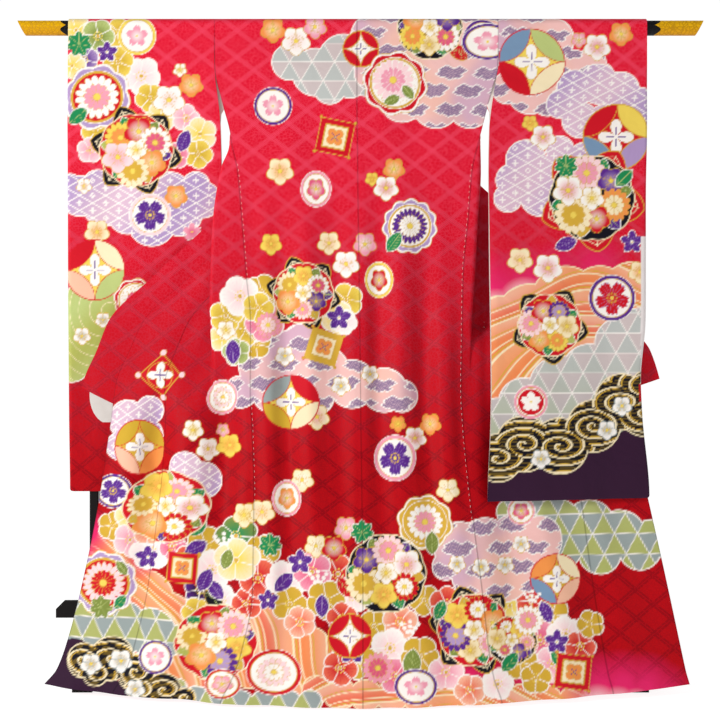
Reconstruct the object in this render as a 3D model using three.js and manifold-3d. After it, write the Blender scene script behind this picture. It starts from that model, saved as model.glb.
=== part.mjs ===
// Furisode kimono draped over a black lacquer clothes stand with gilt pole ends.
// Millimetres, +Z up, origin on the floor at the middle of the part's length and depth.
// The garment's back faces -Y. Both fronts are opened out sideways like a cloak.
import * as THREE from 'three';
import * as BufferGeometryUtils from 'three/addons/utils/BufferGeometryUtils.js';
import Module from 'manifold-3d';

const wasm = await Module();
wasm.setup();

// ---- driving dimensions -------------------------------------------------------------

const CLOTH = 1.2; // wall of every cloth piece
const SEAM_GAP = 0.4; // between two cloth edges that are sewn together
const SEAT_GAP = 0.3; // between two stand pieces that touch

const POLE_TOP = 1502.5;
const POLE_DEPTH = 26;
const POLE_HEIGHT = 34;
const POLE_LENGTH = 1300; // the black length between the gilt ends
const GILT_TIP = 784; // how far the top edge of a gilt end reaches out
const GILT_SLANT = 18; // how much further its top edge reaches than its bottom edge

const POST_OUT = 608; // middle of a post from the middle of the stand
const POST_WIDTH = 20;
const RAIL_HALF = 696;
const RAIL_BOTTOM = 137;
const RAIL_HEIGHT = 39;
const RAIL_DEPTH = 10;
const RAIL_CHAMFER = 19;
const FOOT_HALF = 120;
const FOOT_WIDTH = 44;
const FOOT_HEIGHT = 34;
const FOOT_TIP_HEIGHT = 12;
const FOOT_FLAT = 55; // half length of the foot's level top

const AXIS_HEIGHT = POLE_TOP - POLE_DEPTH / 2; // centre of the pole's round top
const INNER_LAYER = POLE_DEPTH / 2 + SEAT_GAP + CLOTH / 2; // layer that touches the pole
const LAYER_STEP = 2; // from that layer to the one that lies on it
const OUTER_LAYER = INNER_LAYER + LAYER_STEP;
const TOP_DROP = OUTER_LAYER + CLOTH / 2; // from the top of the cloth to the axis
const WRAP = 45; // nominal length of cloth that lies round the pole's top
const FLAP = 84; // cloth behind the pole, from axis height down to the shoulder fold

const NECK_HALF = 90; // half width of the neck cut
const NECK_DEPTH = 20;
const COLLAR = 55; // finished width of the collar at the neck
const NECK_TAIL = 30; // collar strip below the shoulder fold, where the neck band joins
const CUFF = 100; // cuff opening below the axis height
const ARMPIT = 292; // where the side seam starts
const ARMHOLE = 112; // where the sleeve leaves the body
const KENSAKI = 160; // the overlap panel comes to its point just above this drop
const KENSAKI_TIP = 1.4; // width of that point

// ---- sections of the garment, by their drop below the top of the cloth ---------------

// Middle line of the back: across and forward of the hanging layer.
const CENTRE = [
  { drop: 16, across: -8, fwd: 0 },
  { drop: 120, across: -8, fwd: 13 },
  { drop: 200, across: -8, fwd: 22 },
  { drop: 292, across: -7, fwd: 33 },
  { drop: 469, across: -5, fwd: 53 },
  { drop: 590, across: -3, fwd: 68 },
  { drop: 750, across: -1, fwd: 91 },
  { drop: 935, across: 1, fwd: 121 },
  { drop: 1080, across: 3, fwd: 147 },
  { drop: 1270, across: 5, fwd: 184 },
  { drop: 1400, across: 5, fwd: 211 },
  { drop: 1500, across: 5, fwd: 232 },
];

// One row a section. seam: side seam. fold: outermost line of the pleat beside it.
// collar: outer edge of the collar. edge: collar seam, then the free front edge.
// cloth: width of front and overlap panel together. All are distances out from x = 0.
const LEFT = [
  { drop: 16, seam: 333, seamFwd: 0, fold: 333, collar: 43, edge: 98, edgeFwd: -2, cloth: 235, band: 55 },
  { drop: 120, seam: 330, seamFwd: 10, fold: 330, collar: 43, edge: 98, edgeFwd: -2, cloth: 237, band: 55 },
  { drop: 200, seam: 312, seamFwd: 18, fold: 312, collar: 90, edge: 110, edgeFwd: -20, cloth: 250, band: 62 },
  { drop: 262, seam: 295, seamFwd: 24, fold: 295, collar: 147, edge: 130, edgeFwd: -20, cloth: 265, band: 72 },
  { drop: 292, seam: 290, seamFwd: 27, fold: 295, collar: 174, edge: 150, edgeFwd: -14, cloth: 270, band: 75 },
  { drop: 350, seam: 277, seamFwd: 33, fold: 314, collar: 228, edge: 180, edgeFwd: 4, cloth: 282, band: 78 },
  { drop: 469, seam: 265, seamFwd: 47, fold: 330, collar: 338, edge: 263, edgeFwd: 24, cloth: 306, band: 80 },
  { drop: 590, seam: 254, seamFwd: 62, fold: 334, collar: 464, edge: 385, edgeFwd: 31, cloth: 330, band: 80 },
  { drop: 690, seam: 243, seamFwd: 76, fold: 335, collar: 563, edge: 480, edgeFwd: 40, cloth: 350, band: 78 },
  { drop: 760, seam: 242, seamFwd: 86, fold: 334, collar: 590, edge: 513, edgeFwd: 47, cloth: 366, band: 76 },
  { drop: 850, seam: 241, seamFwd: 99, fold: 331, collar: 632, edge: 541, edgeFwd: 56, cloth: 384, band: 78 },
  { drop: 935, seam: 236, seamFwd: 113, fold: 320, collar: 636, edge: 556, edgeFwd: 64, cloth: 394, band: 80 },
  { drop: 1080, seam: 230, seamFwd: 137, fold: 310, collar: 656, edge: 575, edgeFwd: 78, cloth: 402, band: 80 },
  { drop: 1270, seam: 229, seamFwd: 172, fold: 310, collar: 689, edge: 609, edgeFwd: 99, cloth: 412, band: 80 },
  { drop: 1400, seam: 252, seamFwd: 197, fold: 320, collar: 720, edge: 640, edgeFwd: 116, cloth: 418, band: 80 },
  { drop: 1450, seam: 270, seamFwd: 207, fold: 330, collar: 738, edge: 658, edgeFwd: 124, cloth: 422, band: 80 },
  { drop: 1500, seam: 292, seamFwd: 217, fold: 345, collar: 775, edge: 693, edgeFwd: 134, cloth: 428, band: 80 },
];
const RIGHT = [
  { drop: 16, seam: 314, seamFwd: 0, fold: 314, collar: 27, edge: 82, edgeFwd: -2, cloth: 232, band: 55 },
  { drop: 120, seam: 311, seamFwd: 10, fold: 311, collar: 27, edge: 82, edgeFwd: -2, cloth: 234, band: 55 },
  { drop: 163, seam: 299, seamFwd: 14, fold: 299, collar: 40, edge: 86, edgeFwd: -8, cloth: 241, band: 57 },
  { drop: 200, seam: 289, seamFwd: 18, fold: 290, collar: 80, edge: 95, edgeFwd: -20, cloth: 248, band: 62 },
  { drop: 262, seam: 273, seamFwd: 24, fold: 273, collar: 147, edge: 120, edgeFwd: -26, cloth: 264, band: 72 },
  { drop: 292, seam: 265, seamFwd: 27, fold: 270, collar: 179, edge: 150, edgeFwd: -25, cloth: 270, band: 75 },
  { drop: 350, seam: 251, seamFwd: 33, fold: 271, collar: 241, edge: 190, edgeFwd: -18, cloth: 282, band: 78 },
  { drop: 469, seam: 240, seamFwd: 47, fold: 263, collar: 366, edge: 290, edgeFwd: 2, cloth: 306, band: 80 },
  { drop: 590, seam: 228, seamFwd: 62, fold: 255, collar: 488, edge: 410, edgeFwd: 18, cloth: 330, band: 80 },
  { drop: 690, seam: 225, seamFwd: 76, fold: 247, collar: 590, edge: 510, edgeFwd: 32, cloth: 350, band: 78 },
  { drop: 760, seam: 223, seamFwd: 86, fold: 243, collar: 650, edge: 574, edgeFwd: 38, cloth: 368, band: 76 },
  { drop: 850, seam: 221, seamFwd: 99, fold: 240, collar: 674, edge: 596, edgeFwd: 47, cloth: 386, band: 78 },
  { drop: 935, seam: 225, seamFwd: 113, fold: 240, collar: 684, edge: 605, edgeFwd: 56, cloth: 394, band: 80 },
  { drop: 1080, seam: 237, seamFwd: 137, fold: 250, collar: 714, edge: 634, edgeFwd: 73, cloth: 402, band: 80 },
  { drop: 1270, seam: 258, seamFwd: 172, fold: 270, collar: 750, edge: 670, edgeFwd: 100, cloth: 420, band: 80 },
  { drop: 1400, seam: 271, seamFwd: 197, fold: 285, collar: 774, edge: 694, edgeFwd: 120, cloth: 428, band: 80 },
  { drop: 1450, seam: 280, seamFwd: 207, fold: 290, collar: 783, edge: 703, edgeFwd: 128, cloth: 432, band: 80 },
  { drop: 1500, seam: 295, seamFwd: 217, fold: 305, collar: 795, edge: 713, edgeFwd: 134, cloth: 436, band: 80 },
];

// Width that the front panel alone takes of the column cloth.
const FRONT_WIDTH = [
  { drop: 16, left: 235, right: 232 },
  { drop: 180, left: 238, right: 236 },
  { drop: 460, left: 243, right: 243 },
  { drop: 860, left: 248, right: 248 },
  { drop: 1500, left: 255, right: 255 },
];

// Soft vertical folds: at and half are shares of the panel's width, depth is forward.
const BACK_FOLDS = {
  left: [
    { at: 0.2, half: 0.16, depth: -11, from: 330, full: 720, to: 1480 },
    { at: 0.45, half: 0.15, depth: 13, from: 260, full: 800, to: 1500 },
    { at: 0.68, half: 0.14, depth: -14, from: 300, full: 880, to: 1490 },
    { at: 0.86, half: 0.12, depth: 7, from: 480, full: 900, to: 1400 },
  ],
  right: [
    { at: 0.17, half: 0.14, depth: -12, from: 300, full: 760, to: 1470 },
    { at: 0.4, half: 0.16, depth: 12, from: 240, full: 700, to: 1490 },
    { at: 0.64, half: 0.15, depth: -16, from: 280, full: 820, to: 1500 },
    { at: 0.85, half: 0.13, depth: 8, from: 420, full: 820, to: 1420 },
  ],
};
const FRONT_FOLDS = {
  left: [
    { at: 0.2, half: 0.17, depth: -26, from: 700, full: 900, to: 1500 },
    { at: 0.46, half: 0.17, depth: 14, from: 720, full: 960, to: 1480 },
    { at: 0.66, half: 0.14, depth: -22, from: 760, full: 1000, to: 1430 },
    { at: 0.86, half: 0.12, depth: 8, from: 800, full: 1000, to: 1400 },
  ],
  right: [
    { at: 0.22, half: 0.18, depth: -16, from: 760, full: 1000, to: 1500 },
    { at: 0.55, half: 0.18, depth: -12, from: 800, full: 1200, to: 1500 },
    { at: 0.8, half: 0.15, depth: -7, from: 900, full: 1150, to: 1450 },
  ],
};
const SLEEVE_FOLDS = {
  left: [{ at: 0.45, half: 0.35, depth: 3, from: 260, full: 700, to: 1100 }],
  right: [
    { at: 0.35, half: 0.3, depth: 5, from: 260, full: 760, to: 1300 },
    { at: 0.75, half: 0.22, depth: -3, from: 320, full: 820, to: 1300 },
  ],
};

// Sleeves. inner and outer: vertical edges. innerFwd, outerFwd: the layer nearer the
// stand, at those edges. hollow: from that layer to the layer in front of it.
const LEFT_SLEEVE = [
  { drop: 16, inner: 333, outer: 665, innerFwd: 0, outerFwd: 0, hollow: 2 },
  { drop: 112, inner: 331, outer: 665, innerFwd: 7, outerFwd: 1, hollow: 4 },
  { drop: 235, inner: 318, outer: 665, innerFwd: 5, outerFwd: 1, hollow: 8 },
  { drop: 337, inner: 315, outer: 664, innerFwd: 3, outerFwd: 1, hollow: 11 },
  { drop: 560, inner: 312, outer: 663, innerFwd: 1, outerFwd: 1, hollow: 13 },
  { drop: 900, inner: 310, outer: 661, innerFwd: 1, outerFwd: 1, hollow: 12 },
  { drop: 1078, inner: 309, outer: 660, innerFwd: 1, outerFwd: 1, hollow: 3 },
];
const RIGHT_SLEEVE = [
  { drop: 16, inner: 314, outer: 652, innerFwd: 0, outerFwd: 0, hollow: 2 },
  { drop: 112, inner: 312, outer: 651, innerFwd: 7, outerFwd: 2, hollow: 4 },
  { drop: 163, inner: 303, outer: 650, innerFwd: 14, outerFwd: 4, hollow: 6 },
  { drop: 265, inner: 289, outer: 648, innerFwd: 30, outerFwd: 10, hollow: 10 },
  { drop: 395, inner: 286, outer: 643, innerFwd: 43, outerFwd: 18, hollow: 14 },
  { drop: 560, inner: 286, outer: 639, innerFwd: 61, outerFwd: 31, hollow: 18 },
  { drop: 690, inner: 286, outer: 635, innerFwd: 80, outerFwd: 44, hollow: 19 },
  { drop: 830, inner: 285, outer: 621, innerFwd: 103, outerFwd: 58, hollow: 18 },
  { drop: 900, inner: 283, outer: 623, innerFwd: 115, outerFwd: 64, hollow: 16 },
  { drop: 1083, inner: 272, outer: 635, innerFwd: 152, outerFwd: 86, hollow: 4 },
];

// Height of the hem above the floor, across the cloth.
const HEM = { centre: 4, seam: 10, overlap: 15, corner: 26 };

const SIDES = {
  left: { sign: -1, sections: LEFT, sleeve: LEFT_SLEEVE, name: 'left', eriOuter: 842, eriInner: 877 },
  right: { sign: 1, sections: RIGHT, sleeve: RIGHT_SLEEVE, name: 'right', eriOuter: 822, eriInner: 846 },
};

// ---- materials ------------------------------------------------------------------------

const silk = (color) => new THREE.MeshStandardMaterial({
  color, roughness: 0.55, metalness: 0, side: THREE.DoubleSide,
});
const SILK = silk(0xc8102e);
const LINING = silk(0xe4ddd6);
const LACQUER = new THREE.MeshStandardMaterial({ color: 0x060606, roughness: 0.18, metalness: 0 });
const GILT = new THREE.MeshStandardMaterial({ color: 0xd99a1c, roughness: 0.35, metalness: 0.9 });

// ---- small helpers ----------------------------------------------------------------------

const mix = (a, b, t) => a + (b - a) * t;
const steps = (from, to, count) => Array.from({ length: count + 1 }, (_, k) => mix(from, to, k / count));

function ramp(start, end, x) {
  const t = Math.min(Math.max((x - start) / (end - start), 0), 1);
  return t * t * (3 - 2 * t);
}

// Smooth value of one column between the rows of a table, without overshoot.
function column(table, key, drop) {
  const last = table.length - 1;
  if (drop <= table[0].drop) return table[0][key];
  if (drop >= table[last].drop) return table[last][key];
  const i = table.findIndex((row) => row.drop > drop) - 1;
  const slope = (k) => (table[k + 1][key] - table[k][key]) / (table[k + 1].drop - table[k].drop);
  const tangent = (k) => {
    if (k <= 0 || k >= last) return 0;
    const before = slope(k - 1);
    const after = slope(k);
    return before * after <= 0 ? 0 : (2 * before * after) / (before + after);
  };
  const span = table[i + 1].drop - table[i].drop;
  const t = (drop - table[i].drop) / span;
  const rise = table[i + 1][key] - table[i][key];
  const start = tangent(i) * span;
  const end = tangent(i + 1) * span;
  return table[i][key] + t * (start + t * (3 * rise - 2 * start - end + t * (start + end - 2 * rise)));
}

// Forward displacement of the listed folds at share f of the panel's width.
function foldsAt(folds, f, drop) {
  let sum = 0;
  for (const fold of folds) {
    const t = Math.min(Math.abs((f - fold.at) / fold.half), 1);
    const rise = ramp(fold.from, fold.full, drop);
    const fade = 1 - 0.75 * ramp(fold.full, fold.to, drop);
    sum += fold.depth * Math.cos((Math.PI / 2) * t) ** 2 * rise * fade;
  }
  return sum;
}

// A point on cloth that hangs over the pole. e is measured along the cloth: 0 at axis
// height in front, negative over the top and then down behind.
function hang(x, e, layer, fwd) {
  if (e >= 0) return new THREE.Vector3(x, -(layer + fwd), AXIS_HEIGHT - e);
  if (e < -WRAP) return new THREE.Vector3(x, layer, AXIS_HEIGHT + e + WRAP);
  const angle = (-e / WRAP) * Math.PI;
  return new THREE.Vector3(x, -layer * Math.cos(angle), AXIS_HEIGHT + layer * Math.sin(angle));
}

// ---- plan curve of a front, from its side seam to the collar's outer edge ------------------

const PLAN_STEPS = 220;
const RUN_STEPS = 24;
const ARC_STEPS = 16;
const TURN_DEPTH = 0.44; // greatest share of the pleat's depth that each turn takes
const PLEAT_SLACK = 8; // cloth lost in the pleat's roundness
const CROWD = { length: 60, half: 5, from: 3, to: 40, fades: 860, gone: 1050 };
const PLEAT_OPENS = { from: 640, to: 960 }; // drops between which the pleat opens out
const BEHIND = { from: 60, to: 220, extra: 4 }; // the front's edge falls back behind the back
const EDGE_INSET = 2; // the front's edge in the underarm opening lies inside the back's

function resample(points, share) {
  // points: [out, fwd, length so far]; share: 0 at the first point, 1 at the last
  const last = points.length - 1;
  const target = share * points[last][2];
  let k = 1;
  while (k < last && points[k][2] < target) k += 1;
  const [a, b] = [points[k - 1], points[k]];
  const t = (target - a[2]) / (b[2] - a[2]);
  return { out: mix(a[0], b[0], t), fwd: mix(a[1], b[1], t) };
}

function withLengths(points) {
  let length = 0;
  points.forEach((point, k) => {
    if (k > 0) length += Math.hypot(point[0] - points[k - 1][0], point[1] - points[k - 1][1]);
    point.push(length);
  });
  return points;
}

// The fold beside the side seam: out to the fold line, back behind it, out to the collar.
function pleatLengths(row) {
  const out1 = Math.max(row.fold - row.seam, 0);
  const spare = row.cloth + row.band - PLEAT_SLACK - out1 - (row.collar - row.fold);
  const back = Math.max(spare / 2, 0) * (1 - row.opened) ** 1.5;
  const out2 = Math.max(row.collar - row.fold + back, 0);
  return { out1, back, out2 };
}

// Three straight runs joined by two half circles, as points and the middles of the turns.
function pleatCurve(row) {
  const { out1, back, out2 } = pleatLengths(row);
  const depth = row.seamFwd - row.edgeFwd;
  const widest = Math.min((TURN_DEPTH * depth) / 2, back / 2);
  const radius1 = Math.min(widest, out1 / 2);
  const radius2 = Math.min(widest, out2 / 2);
  const turns = 2 * radius1 + 2 * radius2;
  const slope = (depth - turns) / (out1 + back + out2 - turns);
  const points = [[row.seam, row.seamFwd]];
  const push = (x, y) => {
    const [lastX, lastY] = points.at(-1);
    if (Math.hypot(x - lastX, y - lastY) > 1e-5) points.push([x, y]);
  };
  const run = (length, heading) => {
    const [x, y] = points.at(-1);
    for (const t of steps(0, 1, RUN_STEPS)) push(x + heading * length * t, y - slope * length * t);
  };
  const middles = [];
  const turn = (radius, heading) => {
    const [x, y] = points.at(-1);
    for (const angle of steps(0, Math.PI, 2 * ARC_STEPS)) {
      push(x + heading * radius * Math.sin(angle), y - radius * (1 - Math.cos(angle)));
      if (middles.length < (heading > 0 ? 1 : 2) && angle > 1.57) middles.push(points.length - 1);
    }
  };
  run(out1 - radius1, 1);
  turn(radius1, 1);
  run(back - radius1 - radius2, -1);
  turn(radius2, -1);
  run(out2 - radius2, 1);
  withLengths(points);
  const clothAt = (k) => (points[k][2] / points.at(-1)[2]) * (row.cloth + row.band);
  const bends = [Math.min(out1, row.folded), Math.min(row.folded, out2)];
  return {
    points,
    turns: bends.map((bend, k) => ({ at: clothAt(middles[k]), weight: ramp(CROWD.from, CROWD.to, bend) })),
  };
}

// Lower down the fold has opened into soft waves between side seam and front edge.
function waveCurve(row, folds, drop) {
  const points = [];
  for (let k = 0; k <= PLAN_STEPS; k += 1) {
    const f = k / PLAN_STEPS;
    points.push([mix(row.seam, row.edge, f), mix(row.seamFwd, row.edgeFwd, f) + foldsAt(folds, f, drop)]);
  }
  return withLengths(points);
}

const KEYS = ['seam', 'seamFwd', 'fold', 'collar', 'edge', 'edgeFwd', 'cloth', 'band'];
const planCache = new Map();

function planAt(side, drop) {
  const key = `${side.name} ${drop.toFixed(3)}`;
  if (!planCache.has(key)) {
    const row = Object.fromEntries(KEYS.map((name) => [name, column(side.sections, name, drop)]));
    const behind = LAYER_STEP + BEHIND.extra * ramp(BEHIND.from, BEHIND.to, drop);
    const open = 1 - ramp(ARMPIT - 45, ARMPIT, drop);
    row.seamFwd -= behind * open;
    const inset = EDGE_INSET * ramp(ARMHOLE - 10, ARMHOLE + 40, drop) * open;
    row.seam -= inset;
    row.fold -= inset;
    row.opened = 0;
    row.folded = pleatLengths(row).back;
    row.opened = ramp(PLEAT_OPENS.from, PLEAT_OPENS.to, drop);
    const { points, turns } = pleatCurve(row);
    planCache.set(key, { row, turns, pleat: points, wave: waveCurve(row, FRONT_FOLDS[side.name], drop) });
  }
  return planCache.get(key);
}

// Cloth width at a share of the columns between u0 and u1. Columns crowd at the turns.
function crowded(side, e, u0, u1, share) {
  const drop = Math.max(e, 0) + TOP_DROP;
  const { turns } = planAt(side, drop);
  const length = CROWD.length * (1 - ramp(CROWD.fades, CROWD.gone, drop));
  const reach = (u) => turns.reduce((sum, { at, weight }) => (
    sum + length * weight * Math.tanh((u - at) / CROWD.half)), u);
  const target = mix(reach(u0), reach(u1), share);
  let [low, high] = [u0 - 20, u1 + 20];
  for (let k = 0; k < 26; k += 1) {
    const middle = (low + high) / 2;
    if (reach(middle) < target) low = middle;
    else high = middle;
  }
  return (low + high) / 2;
}

// A point of the front, u millimetres of cloth from the side seam.
function frontPoint(side, e, u) {
  const drop = Math.max(e, 0) + TOP_DROP;
  const plan = planAt(side, drop);
  const { row } = plan;
  const pleat = resample(plan.pleat, u / (row.cloth + row.band));
  const inside = Math.min(u / row.cloth, 1);
  const wave = resample(plan.wave, inside);
  wave.out += Math.max(u - row.cloth, 0);
  const out = mix(pleat.out, wave.out, row.opened);
  const fwd = mix(pleat.fwd, wave.fwd, row.opened);
  const layer = OUTER_LAYER + (e < 0 ? fwd : 0);
  return hang(side.sign * out, e, layer, e < 0 ? 0 : fwd);
}

// A point of the back, f = 0 at the centre seam and 1 at the side seam.
function backPoint(side, e, f) {
  const drop = Math.max(e, 0) + TOP_DROP;
  const centre = column(CENTRE, 'across', drop);
  const seam = side.sign * column(side.sections, 'seam', drop);
  const chord = mix(column(CENTRE, 'fwd', drop), column(side.sections, 'seamFwd', drop), f);
  return hang(mix(centre, seam, f), e, OUTER_LAYER, chord + foldsAt(BACK_FOLDS[side.name], f, drop));
}

const clothWidth = (side, drop) => column(side.sections, 'cloth', drop);
const frontWidth = (side, drop) => column(FRONT_WIDTH, side.name, drop);

// ---- solids -----------------------------------------------------------------------------

// Closed solid between two grids of points with the same rows and columns.
function slab(faceA, faceB) {
  const rows = faceA.length;
  const cols = faceA[0].length;
  const vertices = [...faceA.flat(), ...faceB.flat()];
  const at = (face, i, j) => face * rows * cols + i * cols + j;
  const index = [];
  const quad = (a, b, c, d) => index.push(a, b, c, a, c, d);
  for (let i = 0; i < rows - 1; i += 1) {
    for (let j = 0; j < cols - 1; j += 1) {
      quad(at(0, i, j), at(0, i, j + 1), at(0, i + 1, j + 1), at(0, i + 1, j));
      quad(at(1, i, j), at(1, i + 1, j), at(1, i + 1, j + 1), at(1, i, j + 1));
    }
    quad(at(0, i, 0), at(0, i + 1, 0), at(1, i + 1, 0), at(1, i, 0));
    quad(at(0, i + 1, cols - 1), at(0, i, cols - 1), at(1, i, cols - 1), at(1, i + 1, cols - 1));
  }
  for (let j = 0; j < cols - 1; j += 1) {
    quad(at(0, 0, j + 1), at(0, 0, j), at(1, 0, j), at(1, 0, j + 1));
    quad(at(0, rows - 1, j), at(0, rows - 1, j + 1), at(1, rows - 1, j + 1), at(1, rows - 1, j));
  }
  let volume = 0;
  for (let k = 0; k < index.length; k += 3) {
    const [a, b, c] = [vertices[index[k]], vertices[index[k + 1]], vertices[index[k + 2]]];
    volume += a.dot(new THREE.Vector3().crossVectors(b, c));
  }
  if (volume < 0) {
    for (let k = 0; k < index.length; k += 3) [index[k], index[k + 1]] = [index[k + 1], index[k]];
  }
  const geometry = new THREE.BufferGeometry();
  geometry.setAttribute('position', new THREE.Float32BufferAttribute(vertices.flatMap((v) => v.toArray()), 3));
  geometry.setIndex(index);
  geometry.computeVertexNormals();
  return geometry;
}

// Cloth of even thickness on a surface. point(row, share) gives the middle of the wall.
function sheet(rowValues, columns, point, lift = 0) {
  const REACH = 0.004;
  const along = 2;
  const faceA = [];
  const faceB = [];
  for (const row of rowValues) {
    const lineA = [];
    const lineB = [];
    for (let j = 0; j <= columns; j += 1) {
      const share = j / columns;
      const middle = point(row, share);
      const across = point(row, share + REACH).sub(point(row, share - REACH));
      const down = point(row + along, share).sub(point(row - along, share));
      const normal = new THREE.Vector3().crossVectors(across, down).normalize();
      lineA.push(middle.clone().addScaledVector(normal, lift + CLOTH / 2));
      lineB.push(middle.clone().addScaledVector(normal, lift - CLOTH / 2));
    }
    faceA.push(lineA);
    faceB.push(lineB);
  }
  return slab(faceA, faceB);
}

function toManifold(geometry) {
  const plain = geometry.clone();
  plain.deleteAttribute('normal');
  plain.deleteAttribute('uv');
  const merged = BufferGeometryUtils.mergeVertices(plain);
  return new wasm.Manifold(new wasm.Mesh({
    numProp: 3,
    vertProperties: new Float32Array(merged.attributes.position.array),
    triVerts: new Uint32Array(merged.index.array),
  }));
}

function fromManifold(manifold) {
  const mesh = manifold.getMesh();
  const geometry = new THREE.BufferGeometry();
  geometry.setAttribute('position', new THREE.BufferAttribute(new Float32Array(mesh.vertProperties), 3));
  geometry.setIndex(new THREE.BufferAttribute(new Uint32Array(mesh.triVerts), 1));
  geometry.computeVertexNormals();
  return geometry;
}

const furisode = new THREE.Group();

function add(name, geometry, material) {
  const mesh = new THREE.Mesh(geometry, material);
  mesh.name = name;
  furisode.add(mesh);
  return mesh;
}

// ---- rows of points along the cloth ----------------------------------------------------------

const OVER_POLE = [-WRAP - FLAP, -WRAP - FLAP / 2, ...steps(-WRAP, 0, 8)];
const ROWS_TO_COLLAR_END = [
  { until: 0.1, rows: 2 },
  { until: 0.38, rows: 9 },
  { until: 1, rows: 11 },
];
const ROWS_TO_HEM = 9;

// Rows of a side run from the shoulder fold to the hem. Up to zero a row is e itself, and
// above zero it is thousandths of the way from axis height to the hem.
const HEM_UNIT = 1000;

function rowsOf(side) {
  const collarEnd = (HEM_UNIT * (side.eriInner - TOP_DROP)) / (AXIS_HEIGHT - HEM.corner);
  const upper = [];
  for (const { until, rows } of ROWS_TO_COLLAR_END) {
    upper.push(...steps(upper.at(-1) ?? 0, until * collarEnd, rows).slice(1));
  }
  const lower = steps(collarEnd, HEM_UNIT, ROWS_TO_HEM).slice(1);
  return { collarEnd, upper, all: [...OVER_POLE, ...upper, ...lower] };
}

const rowToE = (row, hem) => (row <= 0 ? row : (row / HEM_UNIT) * (AXIS_HEIGHT - hem));

// ---- the back panels ----------------------------------------------------------------------

const BACK_COLUMNS = 10;
const HEM_CURVE = 1.5; // how late the hem rises from the centre towards the side seam

function backPanel(side) {
  return sheet(rowsOf(side).all, BACK_COLUMNS, (row, share) => {
    const hem = mix(HEM.centre, HEM.seam, Math.max(share, 0) ** HEM_CURVE);
    let e = rowToE(row, hem);
    const drop = Math.max(e, 0) + TOP_DROP;
    const half = Math.abs(side.sign * column(side.sections, 'seam', drop) - column(CENTRE, 'across', drop));
    const edge = SEAM_GAP / 2 / half;
    const f = mix(edge, 1 - edge, share);
    const fromCentre = Math.min((f * half) / NECK_HALF, 1);
    const notch = NECK_DEPTH * Math.sqrt(1 - fromCentre ** 2);
    if (e < -WRAP) e = -WRAP - ((-WRAP - e) * (FLAP - notch)) / FLAP;
    return backPoint(side, e, f);
  });
}

// ---- fronts and overlap panels -----------------------------------------------------------------

const FRONT_COLUMNS = 17;
const OVERLAP_COLUMNS = 5;
const COLLAR_COLUMNS = 5;
const CORNER_CURVE = 1.3; // how late the hem rises towards the corner of the overlap panel
const TURN_SEAM = { from: 150, full: 205, still: 300, to: 350, times: 8 };

const dropOf = (row) => Math.max(rowToE(row, HEM.overlap), 0) + TOP_DROP;

// Cloth width of the front panel at the nearest row. Above the overlap panel it takes all.
function frontSeam(side) {
  const rows = rowsOf(side).all;
  const tip = Math.max(...rows.filter((row) => dropOf(row) <= KENSAKI));
  const widths = new Map(rows.map((row) => {
    const drop = dropOf(row);
    const whole = clothWidth(side, drop) - (row === tip ? KENSAKI_TIP : 0);
    return [row, drop > KENSAKI ? frontWidth(side, drop) : whole];
  }));
  const nearest = (row) => rows.reduce((a, b) => (Math.abs(b - row) < Math.abs(a - row) ? b : a));
  return (row) => widths.get(nearest(row));
}

// Half the gap at a seam. It is wider where the seam runs over the turn of the pleat.
function halfGap(e) {
  const drop = Math.max(e, 0) + TOP_DROP;
  const wider = ramp(TURN_SEAM.from, TURN_SEAM.full, drop) - ramp(TURN_SEAM.still, TURN_SEAM.to, drop);
  return (SEAM_GAP / 2) * mix(1, TURN_SEAM.times, wider);
}

function frontPanel(side) {
  const seam = frontSeam(side);
  return sheet(rowsOf(side).all, FRONT_COLUMNS, (row, share) => {
    const e = rowToE(row, mix(HEM.seam, HEM.overlap, share));
    const u = crowded(side, e, SEAM_GAP / 2, seam(row) - halfGap(e), share);
    return frontPoint(side, e, u);
  });
}

function overlapPanel(side) {
  const { all } = rowsOf(side);
  const rows = all.filter((row, k) => dropOf(all[Math.min(k + 1, all.length - 1)]) > KENSAKI);
  const seam = frontSeam(side);
  return sheet(rows, OVERLAP_COLUMNS, (row, share) => {
    const e = rowToE(row, mix(HEM.overlap, HEM.corner, Math.max(share, 0) ** CORNER_CURVE));
    const edge = clothWidth(side, e + TOP_DROP) - halfGap(e);
    return frontPoint(side, e, crowded(side, e, seam(row) + halfGap(e), edge, share));
  });
}

// ---- the collar, one length from front edge to front edge round the neck -----------------------

function collarStrip(side) {
  const { collarEnd, upper } = rowsOf(side);
  const rows = [-WRAP - FLAP - NECK_TAIL, ...OVER_POLE, ...upper];
  return sheet(rows, COLLAR_COLUMNS, (row, share) => {
    const last = mix(side.eriInner, side.eriOuter, share) - TOP_DROP;
    const e = row <= 0 ? row : (row / collarEnd) * last;
    const drop = Math.max(e, 0) + TOP_DROP;
    const cloth = clothWidth(side, drop);
    const band = column(side.sections, 'band', drop);
    return frontPoint(side, e, crowded(side, e, cloth + halfGap(e), cloth + band, share));
  });
}

function neckBand() {
  const middle = column(CENTRE, 'across', 0);
  const layer = INNER_LAYER + LAYER_STEP / 4;
  return sheet(steps(0, COLLAR, 3), 14, (down, share) => {
    const t = mix(-1, 1, share);
    const notch = NECK_DEPTH * Math.sqrt(Math.max(1 - t * t, 0));
    const bottom = AXIS_HEIGHT - FLAP - SEAM_GAP - down;
    return new THREE.Vector3(middle + t * (NECK_HALF - 1), layer, bottom + notch);
  });
}

function collar() {
  const parts = [collarStrip(SIDES.left), collarStrip(SIDES.right), neckBand()];
  return fromManifold(parts.map(toManifold).reduce((all, part) => all.add(part)));
}

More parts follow.
